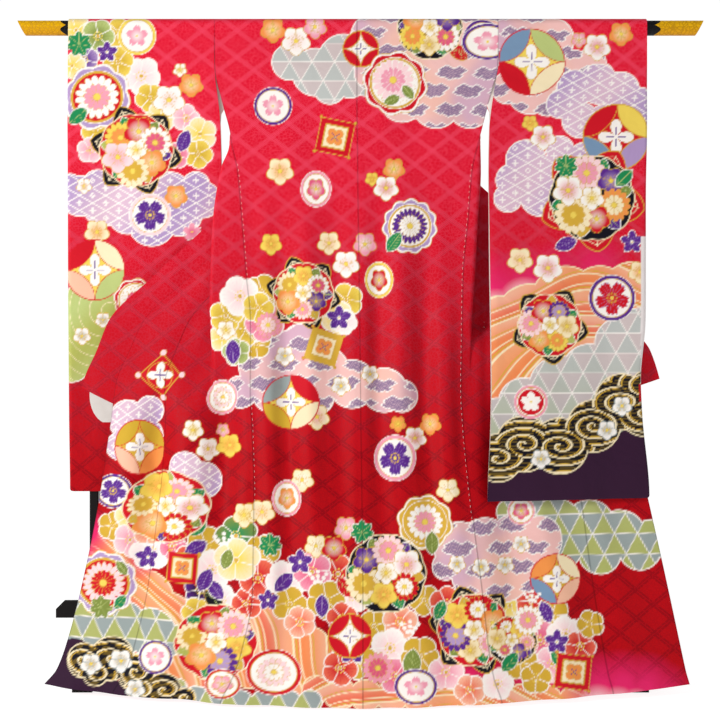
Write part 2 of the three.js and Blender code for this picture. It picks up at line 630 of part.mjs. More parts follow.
// White lining that shows under the open end of the left collar, round at its lower corner.
const TONGUE = { top: 850, bottom: 918, tuck: 6, reach: 58, roundness: 0.85, narrowing: 4 };
const TONGUE_LIFT = CLOTH + SEAM_GAP + 0.6; // from the collar down to the lining

function collarLining(side) {
  return sheet(steps(TONGUE.top, TONGUE.bottom, 5), 3, (drop, share) => {
    const t = (drop - TONGUE.top) / (TONGUE.bottom - TONGUE.top);
    const cloth = clothWidth(side, drop);
    const bow = TONGUE.reach * Math.sqrt(Math.max(1 - TONGUE.roundness * t * t, 0));
    const outer = cloth + bow - TONGUE.narrowing * t;
    return frontPoint(side, drop - TOP_DROP, mix(cloth - TONGUE.tuck, outer, share));
  }, -TONGUE_LIFT);
}

// ---- sleeves -----------------------------------------------------------------------------------

function sleeve(side) {
  const table = side.sleeve;
  const bottom = table[table.length - 1].drop - TOP_DROP;
  const rows = [...OVER_POLE, ...steps(0, CUFF, 2).slice(1), CUFF + 1, ...steps(CUFF + 1, bottom, 14).slice(1)];
  const columns = 5;
  // inset 0 gives the outside of the sleeve, inset CLOTH the hollow in it
  const skin = (inset) => {
    const face = (front) => rows.map((row, i) => {
      let e = row;
      if (i === 0) e += inset;
      if (i === rows.length - 1) e -= inset;
      const drop = Math.max(e, 0) + TOP_DROP;
      const cuffIsOpen = inset > 0 && row <= CUFF;
      const past = inset > 0 ? 3 : 0;
      const inner = column(table, 'inner', drop) + SEAM_GAP / 2 - past;
      const outer = column(table, 'outer', drop) + (cuffIsOpen ? past : -inset);
      const hollow = column(table, 'hollow', drop);
      const line = [];
      for (let j = 0; j <= columns; j += 1) {
        const f = j / columns;
        let fwd = mix(column(table, 'innerFwd', drop), column(table, 'outerFwd', drop), f);
        fwd += foldsAt(SLEEVE_FOLDS[side.name], f, drop);
        const depth = front ? hollow + CLOTH / 2 - inset : inset - CLOTH / 2;
        const layer = INNER_LAYER + depth;
        line.push(hang(side.sign * mix(inner, outer, f), e, layer, e < 0 ? 0 : fwd));
      }
      return line;
    });
    return slab(face(true), face(false));
  };
  return fromManifold(toManifold(skin(0)).subtract(toManifold(skin(CLOTH))));
}

// ---- the stand -----------------------------------------------------------------------------------

const POLE_SIDES = 8; // facets round each half of the pole

function poleSection() {
  const radius = POLE_DEPTH / 2;
  const straight = POLE_HEIGHT - POLE_DEPTH;
  const points = [];
  for (let k = 0; k <= POLE_SIDES; k += 1) {
    const angle = (Math.PI * k) / POLE_SIDES;
    points.push([radius * Math.cos(angle), radius * Math.sin(angle)]);
  }
  for (let k = 0; k <= POLE_SIDES; k += 1) {
    const angle = Math.PI + (Math.PI * k) / POLE_SIDES;
    points.push([radius * Math.cos(angle), radius * Math.sin(angle) - straight]);
  }
  return points;
}

// Rod along X. Its end is slanted where reach is longer at the top than at the bottom.
function rod(from, reachTop, reachBottom) {
  const section = poleSection();
  const shape = new THREE.Shape(section.map(([y, z]) => new THREE.Vector2(y, z)));
  const geometry = new THREE.ExtrudeGeometry(shape, { depth: 1, bevelEnabled: false });
  const position = geometry.attributes.position;
  for (let k = 0; k < position.count; k += 1) {
    const [y, z, end] = [position.getX(k), position.getY(k), position.getZ(k)];
    const height = (z + POLE_HEIGHT - POLE_DEPTH / 2) / POLE_HEIGHT;
    position.setXYZ(k, end > 0.5 ? mix(reachBottom, reachTop, height) : from, y, AXIS_HEIGHT + z);
  }
  return geometry;
}

function chamferedBox(width, depth, height, chamfer) {
  const [w, d] = [width / 2, depth / 2];
  const outline = [
    [-w + chamfer, -d], [w - chamfer, -d], [w, -d + chamfer], [w, d - chamfer],
    [w - chamfer, d], [-w + chamfer, d], [-w, d - chamfer], [-w, -d + chamfer],
  ];
  const shape = new THREE.Shape(outline.map(([x, y]) => new THREE.Vector2(x, y)));
  return new THREE.ExtrudeGeometry(shape, { depth: height, bevelEnabled: false });
}

const POLE_BOTTOM = POLE_TOP - POLE_HEIGHT;

function post(sign) {
  const bottom = FOOT_HEIGHT + SEAT_GAP;
  const body = chamferedBox(POST_WIDTH, POST_WIDTH, POLE_BOTTOM - SEAT_GAP - bottom, 2);
  body.translate(sign * POST_OUT, 0, bottom);
  const mortise = new THREE.BoxGeometry(2 * POST_WIDTH, RAIL_DEPTH + 2 * SEAT_GAP, RAIL_HEIGHT + 2 * SEAT_GAP);
  mortise.translate(sign * POST_OUT, 0, RAIL_BOTTOM + RAIL_HEIGHT / 2);
  return fromManifold(toManifold(body).subtract(toManifold(mortise)));
}

function rail() {
  const top = RAIL_BOTTOM + RAIL_HEIGHT;
  const outline = [
    [-RAIL_HALF, RAIL_BOTTOM], [RAIL_HALF, RAIL_BOTTOM], [RAIL_HALF, top - RAIL_CHAMFER],
    [RAIL_HALF - RAIL_CHAMFER, top], [-RAIL_HALF + RAIL_CHAMFER, top], [-RAIL_HALF, top - RAIL_CHAMFER],
  ];
  const shape = new THREE.Shape(outline.map(([x, z]) => new THREE.Vector2(x, z)));
  const geometry = new THREE.ExtrudeGeometry(shape, { depth: RAIL_DEPTH, bevelEnabled: false });
  geometry.rotateX(Math.PI / 2);
  geometry.translate(0, RAIL_DEPTH / 2, 0);
  return geometry;
}

function foot(sign) {
  const outline = [
    [-FOOT_HALF, 0], [FOOT_HALF, 0], [FOOT_HALF, FOOT_TIP_HEIGHT], [FOOT_FLAT, FOOT_HEIGHT],
    [-FOOT_FLAT, FOOT_HEIGHT], [-FOOT_HALF, FOOT_TIP_HEIGHT],
  ];
  const shape = new THREE.Shape(outline.map(([y, z]) => new THREE.Vector2(y, z)));
  const geometry = new THREE.ExtrudeGeometry(shape, { depth: FOOT_WIDTH, bevelEnabled: false });
  geometry.rotateX(Math.PI / 2);
  geometry.rotateZ(Math.PI / 2);
  geometry.translate(sign * POST_OUT - FOOT_WIDTH / 2, 0, 0);
  return geometry;
}

// ---- assembly ----------------------------------------------------------------------------------

for (const side of [SIDES.left, SIDES.right]) {
  add(`back_${side.name}`, backPanel(side), SILK);
  add(`front_${side.name}`, frontPanel(side), SILK);
  add(`okumi_${side.name}`, overlapPanel(side), SILK);
  add(`sleeve_${side.name}`, sleeve(side), SILK);
}
add('collar', collar(), SILK);
add('collar_lining', collarLining(SIDES.left), LINING);

add('pole', rod(-POLE_LENGTH / 2, POLE_LENGTH / 2, POLE_LENGTH / 2), LACQUER);
for (const [name, sign] of [['left', -1], ['right', 1]]) {
  const gilt = rod(POLE_LENGTH / 2 + SEAT_GAP, GILT_TIP, GILT_TIP - GILT_SLANT);
  if (sign < 0) gilt.rotateZ(Math.PI);
  add(`gilt_end_${name}`, gilt, GILT);
  add(`post_${name}`, post(sign), LACQUER);
  add(`foot_${name}`, foot(sign), LACQUER);
}
add('lower_rail', rail(), LACQUER);

// Everything above is drawn from the pole's middle plane. The part's own origin is on the
// floor, at the middle of the space that it fills.
const space = new THREE.Box3().setFromObject(furisode);
const middle = space.getCenter(new THREE.Vector3());
furisode.position.set(-middle.x, -middle.y, -space.min.z);
furisode.updateMatrixWorld(true);

export default furisode;
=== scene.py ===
"""Furisode kimono draped over its lacquered clothes stand, seen from the garment's back.

Everything is in metres in the part's own frame once it is made into a mesh. The cloth's
sections are worked out in millimetres, from the same named values as the CAD solids.
"""
import math

import bmesh
import bpy
import numpy as np
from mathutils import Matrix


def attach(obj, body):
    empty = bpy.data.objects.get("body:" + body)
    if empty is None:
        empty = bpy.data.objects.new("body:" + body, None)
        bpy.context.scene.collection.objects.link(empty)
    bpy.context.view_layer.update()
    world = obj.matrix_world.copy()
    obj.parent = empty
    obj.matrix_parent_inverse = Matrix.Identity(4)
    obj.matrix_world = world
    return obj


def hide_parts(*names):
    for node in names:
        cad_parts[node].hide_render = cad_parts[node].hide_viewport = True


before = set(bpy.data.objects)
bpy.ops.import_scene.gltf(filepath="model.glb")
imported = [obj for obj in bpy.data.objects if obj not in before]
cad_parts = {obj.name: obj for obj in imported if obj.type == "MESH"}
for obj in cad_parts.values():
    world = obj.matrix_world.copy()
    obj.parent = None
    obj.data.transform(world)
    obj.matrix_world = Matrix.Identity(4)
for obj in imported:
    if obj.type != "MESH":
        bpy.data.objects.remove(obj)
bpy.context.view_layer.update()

# ---- dimensions shared with the CAD source, in millimetres

CLOTH = 1.2
SEAM_GAP = 0.02  # sewn edges meet here; the CAD solids keep 0.4 between them
INNER_LAYER = 13.9
LAYER_STEP = 2.0
OUTER_LAYER = INNER_LAYER + LAYER_STEP
AXIS_HEIGHT = 1489.5
POLE_Y = 64.0
TOP_DROP = OUTER_LAYER + CLOTH / 2
WRAP = 45.0
FLAP = 84.0
NECK_HALF = 90.0
NECK_DEPTH = 20.0
COLLAR = 55.0
NECK_TAIL = 30.0
CUFF = 100.0
ARMPIT = 292.0
ARMHOLE = 112.0
KENSAKI = 160.0
KENSAKI_TIP = 1.4
TURN_DEPTH = 0.44
PLEAT_SLACK = 8.0
HEM_CENTRE, HEM_SEAM, HEM_OVERLAP, HEM_CORNER = 4.0, 10.0, 15.0, 26.0

SECTION_NAMES = "drop seam seamFwd fold collar edge edgeFwd cloth band"
CENTRE = ("drop across fwd", [
    (16, -8, 0), (120, -8, 13), (200, -8, 22), (292, -7, 33), (469, -5, 53), (590, -3, 68),
    (750, -1, 91), (935, 1, 121), (1080, 3, 147), (1270, 5, 184), (1400, 5, 211), (1500, 5, 232),
])
LEFT = (SECTION_NAMES, [
    (16, 333, 0, 333, 43, 98, -2, 235, 55),
    (120, 330, 10, 330, 43, 98, -2, 237, 55),
    (200, 312, 18, 312, 90, 110, -20, 250, 62),
    (262, 295, 24, 295, 147, 130, -20, 265, 72),
    (292, 290, 27, 295, 174, 150, -14, 270, 75),
    (350, 277, 33, 314, 228, 180, 4, 282, 78),
    (469, 265, 47, 330, 338, 263, 24, 306, 80),
    (590, 254, 62, 334, 464, 385, 31, 330, 80),
    (690, 243, 76, 335, 563, 480, 40, 350, 78),
    (760, 242, 86, 334, 590, 513, 47, 366, 76),
    (850, 241, 99, 331, 632, 541, 56, 384, 78),
    (935, 236, 113, 320, 636, 556, 64, 394, 80),
    (1080, 230, 137, 310, 656, 575, 78, 402, 80),
    (1270, 229, 172, 310, 689, 609, 99, 412, 80),
    (1400, 252, 197, 320, 720, 640, 116, 418, 80),
    (1450, 270, 207, 330, 738, 658, 124, 422, 80),
    (1500, 292, 217, 345, 775, 693, 134, 428, 80),
])
RIGHT = (SECTION_NAMES, [
    (16, 314, 0, 314, 27, 82, -2, 232, 55),
    (120, 311, 10, 311, 27, 82, -2, 234, 55),
    (163, 299, 14, 299, 40, 86, -8, 241, 57),
    (200, 289, 18, 290, 80, 95, -20, 248, 62),
    (262, 273, 24, 273, 147, 120, -26, 264, 72),
    (292, 265, 27, 270, 179, 150, -25, 270, 75),
    (350, 251, 33, 271, 241, 190, -18, 282, 78),
    (469, 240, 47, 263, 366, 290, 2, 306, 80),
    (590, 228, 62, 255, 488, 410, 18, 330, 80),
    (690, 225, 76, 247, 590, 510, 32, 350, 78),
    (760, 223, 86, 243, 650, 574, 38, 368, 76),
    (850, 221, 99, 240, 674, 596, 47, 386, 78),
    (935, 225, 113, 240, 684, 605, 56, 394, 80),
    (1080, 237, 137, 250, 714, 634, 73, 402, 80),
    (1270, 258, 172, 270, 750, 670, 100, 420, 80),
    (1400, 271, 197, 285, 774, 694, 120, 428, 80),
    (1450, 280, 207, 290, 783, 703, 128, 432, 80),
    (1500, 295, 217, 305, 795, 713, 134, 436, 80),
])
FRONT_WIDTH = ("drop left right", [
    (16, 235, 232), (180, 238, 236), (460, 243, 243), (860, 248, 248), (1500, 255, 255),
])
SLEEVE_NAMES = "drop inner outer innerFwd outerFwd hollow"
LEFT_SLEEVE = (SLEEVE_NAMES, [
    (16, 333, 665, 0, 0, 2),
    (112, 331, 665, 7, 1, 4),
    (235, 318, 665, 5, 1, 8),
    (337, 315, 664, 3, 1, 11),
    (560, 312, 663, 1, 1, 13),
    (900, 310, 661, 1, 1, 12),
    (1078, 309, 660, 1, 1, 3),
])
RIGHT_SLEEVE = (SLEEVE_NAMES, [
    (16, 314, 652, 0, 0, 2),
    (112, 312, 651, 7, 2, 4),
    (163, 303, 650, 14, 4, 6),
    (265, 289, 648, 30, 10, 10),
    (395, 286, 643, 43, 18, 14),
    (560, 286, 639, 61, 31, 18),
    (690, 286, 635, 80, 44, 19),
    (830, 285, 621, 103, 58, 18),
    (900, 283, 623, 115, 64, 16),
    (1083, 272, 635, 152, 86, 4),
])
# Soft vertical folds: at, half (shares of the width), depth, from, full, to (drops).
BACK_FOLDS = {
    "left": [(0.2, 0.16, -11, 330, 720, 1480), (0.45, 0.15, 13, 260, 800, 1500),
             (0.68, 0.14, -14, 300, 880, 1490), (0.86, 0.12, 7, 480, 900, 1400)],
    "right": [(0.17, 0.14, -12, 300, 760, 1470), (0.4, 0.16, 12, 240, 700, 1490),
              (0.64, 0.15, -16, 280, 820, 1500), (0.85, 0.13, 8, 420, 820, 1420)],
}
FRONT_FOLDS = {
    "left": [(0.2, 0.17, -26, 700, 900, 1500), (0.46, 0.17, 14, 720, 960, 1480),
             (0.66, 0.14, -22, 760, 1000, 1430), (0.86, 0.12, 8, 800, 1000, 1400)],
    "right": [(0.22, 0.18, -16, 760, 1000, 1500), (0.55, 0.18, -12, 800, 1200, 1500),
              (0.8, 0.15, -7, 900, 1150, 1450)],
}
SLEEVE_FOLDS = {
    "left": [(0.45, 0.35, 3, 260, 700, 1100)],
    "right": [(0.35, 0.3, 5, 260, 760, 1300), (0.75, 0.22, -3, 320, 820, 1300)],
}
SIDES = {
    "left": dict(name="left", sign=-1, sections=LEFT, sleeve=LEFT_SLEEVE, eri_outer=842, eri_inner=877),
    "right": dict(name="right", sign=1, sections=RIGHT, sleeve=RIGHT_SLEEVE, eri_outer=822, eri_inner=846),
}

# ---- camera: level, at the photograph's angle

CAMERA = (-0.0011, -2.536, 0.726)
FOCAL_PX = 1136.0
FRAME_PX = 720.0

camera_data = bpy.data.cameras.new("camera")
camera_data.sensor_width = 36.0
camera_data.lens = FOCAL_PX / FRAME_PX * 36.0
camera = bpy.data.objects.new("camera", camera_data)
camera.location = CAMERA
camera.rotation_euler = (math.pi / 2, 0, 0)
bpy.context.scene.collection.objects.link(camera)
bpy.context.scene.camera = camera

# ---- helpers


def mix(a, b, t):
    return a + (b - a) * t


def ramp(start, end, x):
    t = np.clip((x - start) / (end - start), 0, 1)
    return t * t * (3 - 2 * t)


def column(table, key, drop):
    """Smooth value of one column between the rows of a table, without overshoot."""
    names, rows = table
    data = np.array(rows, float)
    x, y = data[:, 0], data[:, names.split().index(key)]
    drop = np.clip(drop, x[0], x[-1])
    span = np.diff(x)
    slope = np.diff(y) / span
    tangent = np.zeros(len(x))
    before, after = slope[:-1], slope[1:]
    both = before * after > 0
    tangent[1:-1][both] = (2 * before * after)[both] / (before + after)[both]
    i = np.clip(np.searchsorted(x, drop, side="right") - 1, 0, len(x) - 2)
    t = (drop - x[i]) / span[i]
    rise = y[i + 1] - y[i]
    start, end = tangent[i] * span[i], tangent[i + 1] * span[i]
    return y[i] + t * (start + t * (3 * rise - 2 * start - end + t * (start + end - 2 * rise)))


def folds_at(folds, f, drop):
    total = 0.0
    for at, half, depth, start, full, end in folds:
        t = np.minimum(np.abs((f - at) / half), 1)
        rise = ramp(start, full, drop) * (1 - 0.75 * ramp(full, end, drop))
        total = total + depth * np.cos(np.pi / 2 * t) ** 2 * rise
    return total


# Main creases: both ends in the photograph's pixels, half width, depth forward.
CREASES = [
    (213, 252, 138, 334, 11, -6), (214, 292, 172, 352, 9, -5), (217, 330, 178, 430, 12, -7),
    (190, 300, 150, 398, 13, 4), (222, 372, 206, 470, 9, 5), (236, 408, 262, 520, 12, -6),
    (262, 372, 318, 470, 13, 4), (300, 330, 336, 520, 16, -4), (246, 180, 258, 330, 12, -3),
    (330, 470, 322, 610, 13, 5), (384, 300, 400, 470, 15, -4), (420, 250, 436, 420, 14, 4),
    (452, 180, 446, 330, 11, -4), (470, 330, 452, 500, 10, -6), (484, 220, 482, 420, 6, -6),
    (430, 500, 416, 640, 14, 5), (300, 90, 322, 190, 18, -2), (420, 110, 404, 210, 16, -2),
    (140, 440, 205, 520, 12, -7), (120, 480, 166, 560, 12, 4), (590, 520, 604, 660, 16, -6),
    (546, 540, 552, 690, 14, 5), (636, 560, 656, 670, 14, -5), (500, 520, 508, 680, 13, -6),
    (110, 120, 116, 330, 18, -2), (176, 240, 168, 300, 12, 2), (528, 110, 522, 250, 16, -2),
    (604, 320, 612, 470, 18, -3), (560, 250, 566, 380, 16, 2), (80, 330, 84, 470, 12, -2),
]
PIXEL = 2.245  # millimetres a pixel where the cloth hangs near the pole


def creases(x, drop):
    """Creases in the cloth as forward movement. All layers at a place move together."""
    px, py = x / PIXEL + 359.5, (drop - 779.4) / PIXEL + 360
    total = 0.0
    for x0, y0, x1, y1, half, depth in CREASES:
        run = np.array([x1 - x0, y1 - y0], float)
        t = ((px - x0) * run[0] + (py - y0) * run[1]) / (run @ run)
        side = ((px - x0) * run[1] - (py - y0) * run[0]) / np.linalg.norm(run)
        total = total + depth * np.exp(-(side / half) ** 2) * ramp(-0.15, 0.3, t) * (1 - ramp(0.7, 1.15, t))
    wave = (1.5 * np.sin(x / 31 + 1.3 * np.sin(drop / 210)) * np.sin(drop / 260 + x / 190)
            + 0.9 * np.sin(x / 17 + drop / 95 + 2 * np.sin(drop / 330)))
    low = ramp(500, 1300, drop)
    return ramp(70, 260, drop) * ((0.55 + 0.6 * low) * (wave + 0.6) + 0.8 * total)


def hang(x, e, layer, fwd):
    """Points on cloth over the pole; e runs along the cloth, 0 at axis height in front."""
    x, e, layer, fwd = np.broadcast_arrays(x, e, layer, fwd)
    angle = np.clip(-e / WRAP, 0, 1) * np.pi
    fwd = fwd + np.where(e > 0, creases(x, e + TOP_DROP), 0)
    y = np.where(e >= 0, -(layer + fwd), -layer * np.cos(angle))
    z = np.where(e >= 0, AXIS_HEIGHT - e, AXIS_HEIGHT + layer * np.sin(angle))
    z = np.where(e < -WRAP, AXIS_HEIGHT + e + WRAP, z)
    return np.stack([x, y + POLE_Y, z], -1)


# ---- plan curve of a front, from its side seam to the collar's outer edge

PLAN_DROP, PLAN_U = 3.5, 1.5
PLAN_DROPS = np.arange(TOP_DROP, 1506, PLAN_DROP)
PLAN_US = np.arange(0, 545, PLAN_U)


def pleat_lengths(row):
    out1 = max(row["fold"] - row["seam"], 0)
    spare = row["cloth"] + row["band"] - PLEAT_SLACK - out1 - (row["collar"] - row["fold"])
    back = max(spare / 2, 0) * (1 - row["opened"]) ** 1.5
    return out1, back, max(row["collar"] - row["fold"] + back, 0)


def pleat_curve(row):
    out1, back, out2 = pleat_lengths(row)
    depth = row["seamFwd"] - row["edgeFwd"]
    widest = min(TURN_DEPTH * depth / 2, back / 2)
    radius1, radius2 = min(widest, out1 / 2), min(widest, out2 / 2)
    turns = 2 * radius1 + 2 * radius2
    slope = (depth - turns) / (out1 + back + out2 - turns)
    points = [(row["seam"], row["seamFwd"])]

    def run(length, heading):
        x, y = points[-1]
        points.extend((x + heading * length * t, y - slope * length * t) for t in np.linspace(0, 1, 13)[1:])

    def turn(radius, heading):
        x, y = points[-1]
        points.extend((x + heading * radius * math.sin(a), y - radius * (1 - math.cos(a)))
                      for a in np.linspace(0, math.pi, 25)[1:])

    run(out1 - radius1, 1)
    turn(radius1, 1)
    run(back - radius1 - radius2, -1)
    turn(radius2, -1)
    run(out2 - radius2, 1)
    return np.array(points)


def along(points, share):
    """Points of a curve at shares of its length."""
    length = np.concatenate([[0], np.cumsum(np.hypot(*np.diff(points, axis=0).T))])
    return np.stack([np.interp(share * length[-1], length, points[:, k]) for k in (0, 1)], -1)


def plan_of(side):
    """Plan positions (out, fwd) of a front for each drop and each width of cloth."""
    grid = np.empty((len(PLAN_DROPS), len(PLAN_US), 2))
    keys = SECTION_NAMES.split()[1:]
    values = {key: column(side["sections"], key, PLAN_DROPS) for key in keys}
    share = np.linspace(0, 1, 221)
    for k, drop in enumerate(PLAN_DROPS):
        row = {key: values[key][k] for key in keys}
        is_open = 1 - ramp(ARMPIT - 45, ARMPIT, drop)
        row["seamFwd"] -= (LAYER_STEP + 4 * ramp(60, 220, drop)) * is_open
        inset = 2 * ramp(ARMHOLE - 10, ARMHOLE + 40, drop) * is_open
        row["seam"] -= inset
        row["fold"] -= inset
        row["opened"] = ramp(640, 960, drop)
        pleat = along(pleat_curve(row), PLAN_US / (row["cloth"] + row["band"]))
        line = np.stack([mix(row["seam"], row["edge"], share), mix(row["seamFwd"], row["edgeFwd"], share)
                         + folds_at(FRONT_FOLDS[side["name"]], share, drop)], -1)
        wave = along(line, np.minimum(PLAN_US / row["cloth"], 1))
        wave[:, 0] += np.maximum(PLAN_US - row["cloth"], 0)
        grid[k] = mix(pleat, wave, row["opened"])
    return grid


PLANS = {name: plan_of(side) for name, side in SIDES.items()}


def front_point(side, e, u):
    drop = np.maximum(e, 0) + TOP_DROP
    i = np.clip((drop - PLAN_DROPS[0]) / PLAN_DROP, 0, len(PLAN_DROPS) - 1.001)
    j = np.clip(u / PLAN_U, 0, len(PLAN_US) - 1.001)
    i0, j0 = i.astype(int), j.astype(int)
    di, dj = (i - i0)[..., None], (j - j0)[..., None]
    plan = PLANS[side["name"]]
    spot = mix(mix(plan[i0, j0], plan[i0 + 1, j0], di), mix(plan[i0, j0 + 1], plan[i0 + 1, j0 + 1], di), dj)
    out, fwd = spot[..., 0], spot[..., 1]
    layer = OUTER_LAYER + np.where(e < 0, fwd, 0)
    return hang(side["sign"] * out, e, layer, np.where(e < 0, 0, fwd))


def back_half(side, drop):
    return np.abs(side["sign"] * column(side["sections"], "seam", drop) - column(CENTRE, "across", drop))


def row_to_e(row, hem):
    return np.where(row <= 0, row, row / 1000 * (AXIS_HEIGHT - hem))


def drop_of(e):
    return np.maximum(e, 0) + TOP_DROP


def seam_width(side, row):
    """Width of cloth that the front panel takes; above the overlap panel it takes all."""
    drop = drop_of(row_to_e(row, HEM_OVERLAP))
    whole = column(side["sections"], "cloth", drop)
    share = np.clip((drop - KENSAKI) / 30, 0, 1)
    below = mix(whole - KENSAKI_TIP, column(FRONT_WIDTH, side["name"], drop), share)
    return np.where(drop <= KENSAKI, whole, below)


# Each panel gives, for arrays of rows and shares, the points and their place on the flat cloth.

def back_panel(side, row, share):
    e = row_to_e(row, mix(HEM_CENTRE, HEM_SEAM, share ** 1.5))
    drop = drop_of(e)
    half = back_half(side, drop)
    edge = SEAM_GAP / 2 / half
    f = mix(edge, 1 - edge, share)
    notch = NECK_DEPTH * np.sqrt(1 - np.minimum(f * half / NECK_HALF, 1) ** 2)
    e = np.where(e < -WRAP, -WRAP - (-WRAP - e) * (FLAP - notch) / FLAP, e)
    centre = column(CENTRE, "across", drop)
    x = mix(centre, side["sign"] * column(side["sections"], "seam", drop), f)
    chord = mix(column(CENTRE, "fwd", drop), column(side["sections"], "seamFwd", drop), f)
    points = hang(x, e, OUTER_LAYER, chord + folds_at(BACK_FOLDS[side["name"]], f, drop))
    return points, side["sign"] * f * half, e


def front_flat(side, e, u):
    return side["sign"] * (back_half(side, drop_of(e)) + u)


def front_panel(side, row, share):
    e = row_to_e(row, mix(HEM_SEAM, HEM_OVERLAP, share))
    u = mix(SEAM_GAP / 2, seam_width(side, row) - SEAM_GAP / 2, share)
    return front_point(side, e, u), front_flat(side, e, u), e


def overlap_panel(side, row, share):
    e = row_to_e(row, mix(HEM_OVERLAP, HEM_CORNER, share ** 1.3))
    edge = column(side["sections"], "cloth", drop_of(e)) - SEAM_GAP / 2
    u = mix(seam_width(side, row) + SEAM_GAP / 2, edge, share)
    return front_point(side, e, u), front_flat(side, e, u), e


def collar_end(side):
    return 1000 * (side["eri_inner"] - TOP_DROP) / (AXIS_HEIGHT - HEM_CORNER)


def collar_strip(side, row, share):
    last = mix(side["eri_inner"], side["eri_outer"], share) - TOP_DROP
    e = np.where(row <= 0, row, row / collar_end(side) * last)
    cloth = column(side["sections"], "cloth", drop_of(e))
    u = mix(cloth + SEAM_GAP / 2, cloth + column(side["sections"], "band", drop_of(e)), share)
    return front_point(side, e, u), front_flat(side, e, u), e


def neck_band(down, share):
    t = mix(-1, 1, share)
    reach = t * (NECK_HALF + 6) / NECK_HALF  # runs on under the collar's two strips
    z = AXIS_HEIGHT - FLAP - SEAM_GAP - down + NECK_DEPTH * np.sqrt(np.maximum(1 - reach * reach, 0))
    x = column(CENTRE, "across", 0.0) + reach * NECK_HALF
    layer = INNER_LAYER + LAYER_STEP / 4
    return np.stack(np.broadcast_arrays(x, layer + POLE_Y, z), -1), x, -130 - down


def tongue(side, drop, share):
    t = (drop - 850) / (918 - 850)
    cloth = column(side["sections"], "cloth", drop)
    outer = cloth + 58 * np.sqrt(np.maximum(1 - 0.85 * t * t, 0)) - 4 * t
    u = mix(cloth - 6, outer, share)
    return front_point(side, drop - TOP_DROP, u), front_flat(side, drop - TOP_DROP, u), drop - TOP_DROP


SLEEVE_CORNER = 6.0  # radius of the rounded lower corners
UNDERARM_REACH = 15.0  # how far the sleeve's far face shows in the underarm opening
FAR_OFF = 1e3  # above the cuff's end the outer edge is open, so no sewn edge is near


def sleeve_face(side, front, row, share):
    table = side["sleeve"]
    bottom = table[1][-1][0] - TOP_DROP
    e = row
    drop = drop_of(e)
    inner = column(table, "inner", drop) + SEAM_GAP / 2
    outer = column(table, "outer", drop)
    f = share
    hollow = column(table, "hollow", drop)
    rim = hollow / 2
    # distance in from the sewn edges, which close the two faces in a round fold
    to_edge = np.where(e > CUFF, (1 - f) * (outer - inner), FAR_OFF)
    to_end = bottom - e
    near = np.clip(np.minimum(to_edge, to_end) / np.maximum(rim, 0.5), 0, 1)
    gap = hollow * np.sqrt(1 - (1 - near) ** 2)
    depth = hollow / 2 + (gap / 2 if front else -gap / 2)
    fwd = mix(column(table, "innerFwd", drop), column(table, "outerFwd", drop), f)
    fwd = fwd + folds_at(SLEEVE_FOLDS[side["name"]], f, drop)
    corner = SLEEVE_CORNER * (1 - np.sqrt(1 - np.clip(1 - to_end / SLEEVE_CORNER, 0, 1) ** 2))
    if not front:
        inner = inner - UNDERARM_REACH * ramp(ARMHOLE, 140, drop) * (1 - ramp(196, 232, drop))
    x = mix(inner, outer - corner, f)
    points = hang(side["sign"] * x, e, INNER_LAYER + depth, np.where(e < 0, 0, fwd))
    return points, side["sign"] * f * (outer - inner), e

# ---- meshes

PITCH = 3.0  # spacing of the printed face's vertices
COARSE = 4  # the lining side takes every fourth of them


class Shell:
    """Thin closed shell on a panel: a fine printed face and a coarser lining face."""

    def __init__(self, panel, rows, columns, sign, lift=0.0, pleated=False):
        share = np.linspace(0, 1, columns + 1)
        row, share = np.meshgrid(rows, share, indexing="ij")
        self.points, self.u, self.v = panel(row, share)
        across = np.gradient(self.points, axis=1)
        down = np.gradient(self.points, axis=0)
        normal = np.cross(across, down)
        normal /= np.maximum(np.linalg.norm(normal, axis=-1, keepdims=True), 1e-9)
        self.normal = normal * -sign
        self.sign = sign
        self.step = COARSE, 1 if pleated else COARSE  # a tight pleat needs every column on both faces
        self.coarse = slice(None, None, self.step[0]), slice(None, None, self.step[1])
        self.points = self.points + self.normal * lift
        self.outer = self.points + self.normal * CLOTH / 2
        self.inner = (self.points - self.normal * CLOTH / 2)[self.coarse]
        self.shape = self.u.shape
        x, y, z = np.moveaxis(self.points, -1, 0)
        self.woven = x + sign * 37, AXIS_HEIGHT - z - 0.3 * y
        self.colour = None
        self.ground = None
        self.lining = None


def spread(a, b, pitch=PITCH):
    count = max(int(round(abs(b - a) / pitch / COARSE)), 1) * COARSE
    return np.linspace(a, b, count + 1)


def shell_faces(shell, base):
    """Vertex lists of the printed face, the lining face, and the rims, with the printed face outwards."""
    n, m = shell.shape
    grid = base + np.arange(n * m).reshape(n, m)
    down, across = shell.step
    cn, cm = (n - 1) // down + 1, (m - 1) // across + 1
    back = base + n * m + np.arange(cn * cm).reshape(cn, cm)

    def quads(g, flip):
        q = np.stack([g[:-1, :-1], g[:-1, 1:], g[1:, 1:], g[1:, :-1]], -1).reshape(-1, 4)
        return q[:, ::-1] if flip else q

    flip = shell.sign > 0
    rims = []
    for fine, rough, step in ((grid[0], back[0], across), (grid[:, -1], back[:, -1], down),
                              (grid[-1, ::-1], back[-1, ::-1], across), (grid[::-1, 0], back[::-1, 0], down)):
        rings = np.array([[*fine[k * step:(k + 1) * step + 1][::-1], rough[k], rough[k + 1]]
                          for k in range(len(rough) - 1)])
        rims.append(rings[:, ::-1] if flip else rings)
    return quads(grid, flip), quads(back, not flip), rims


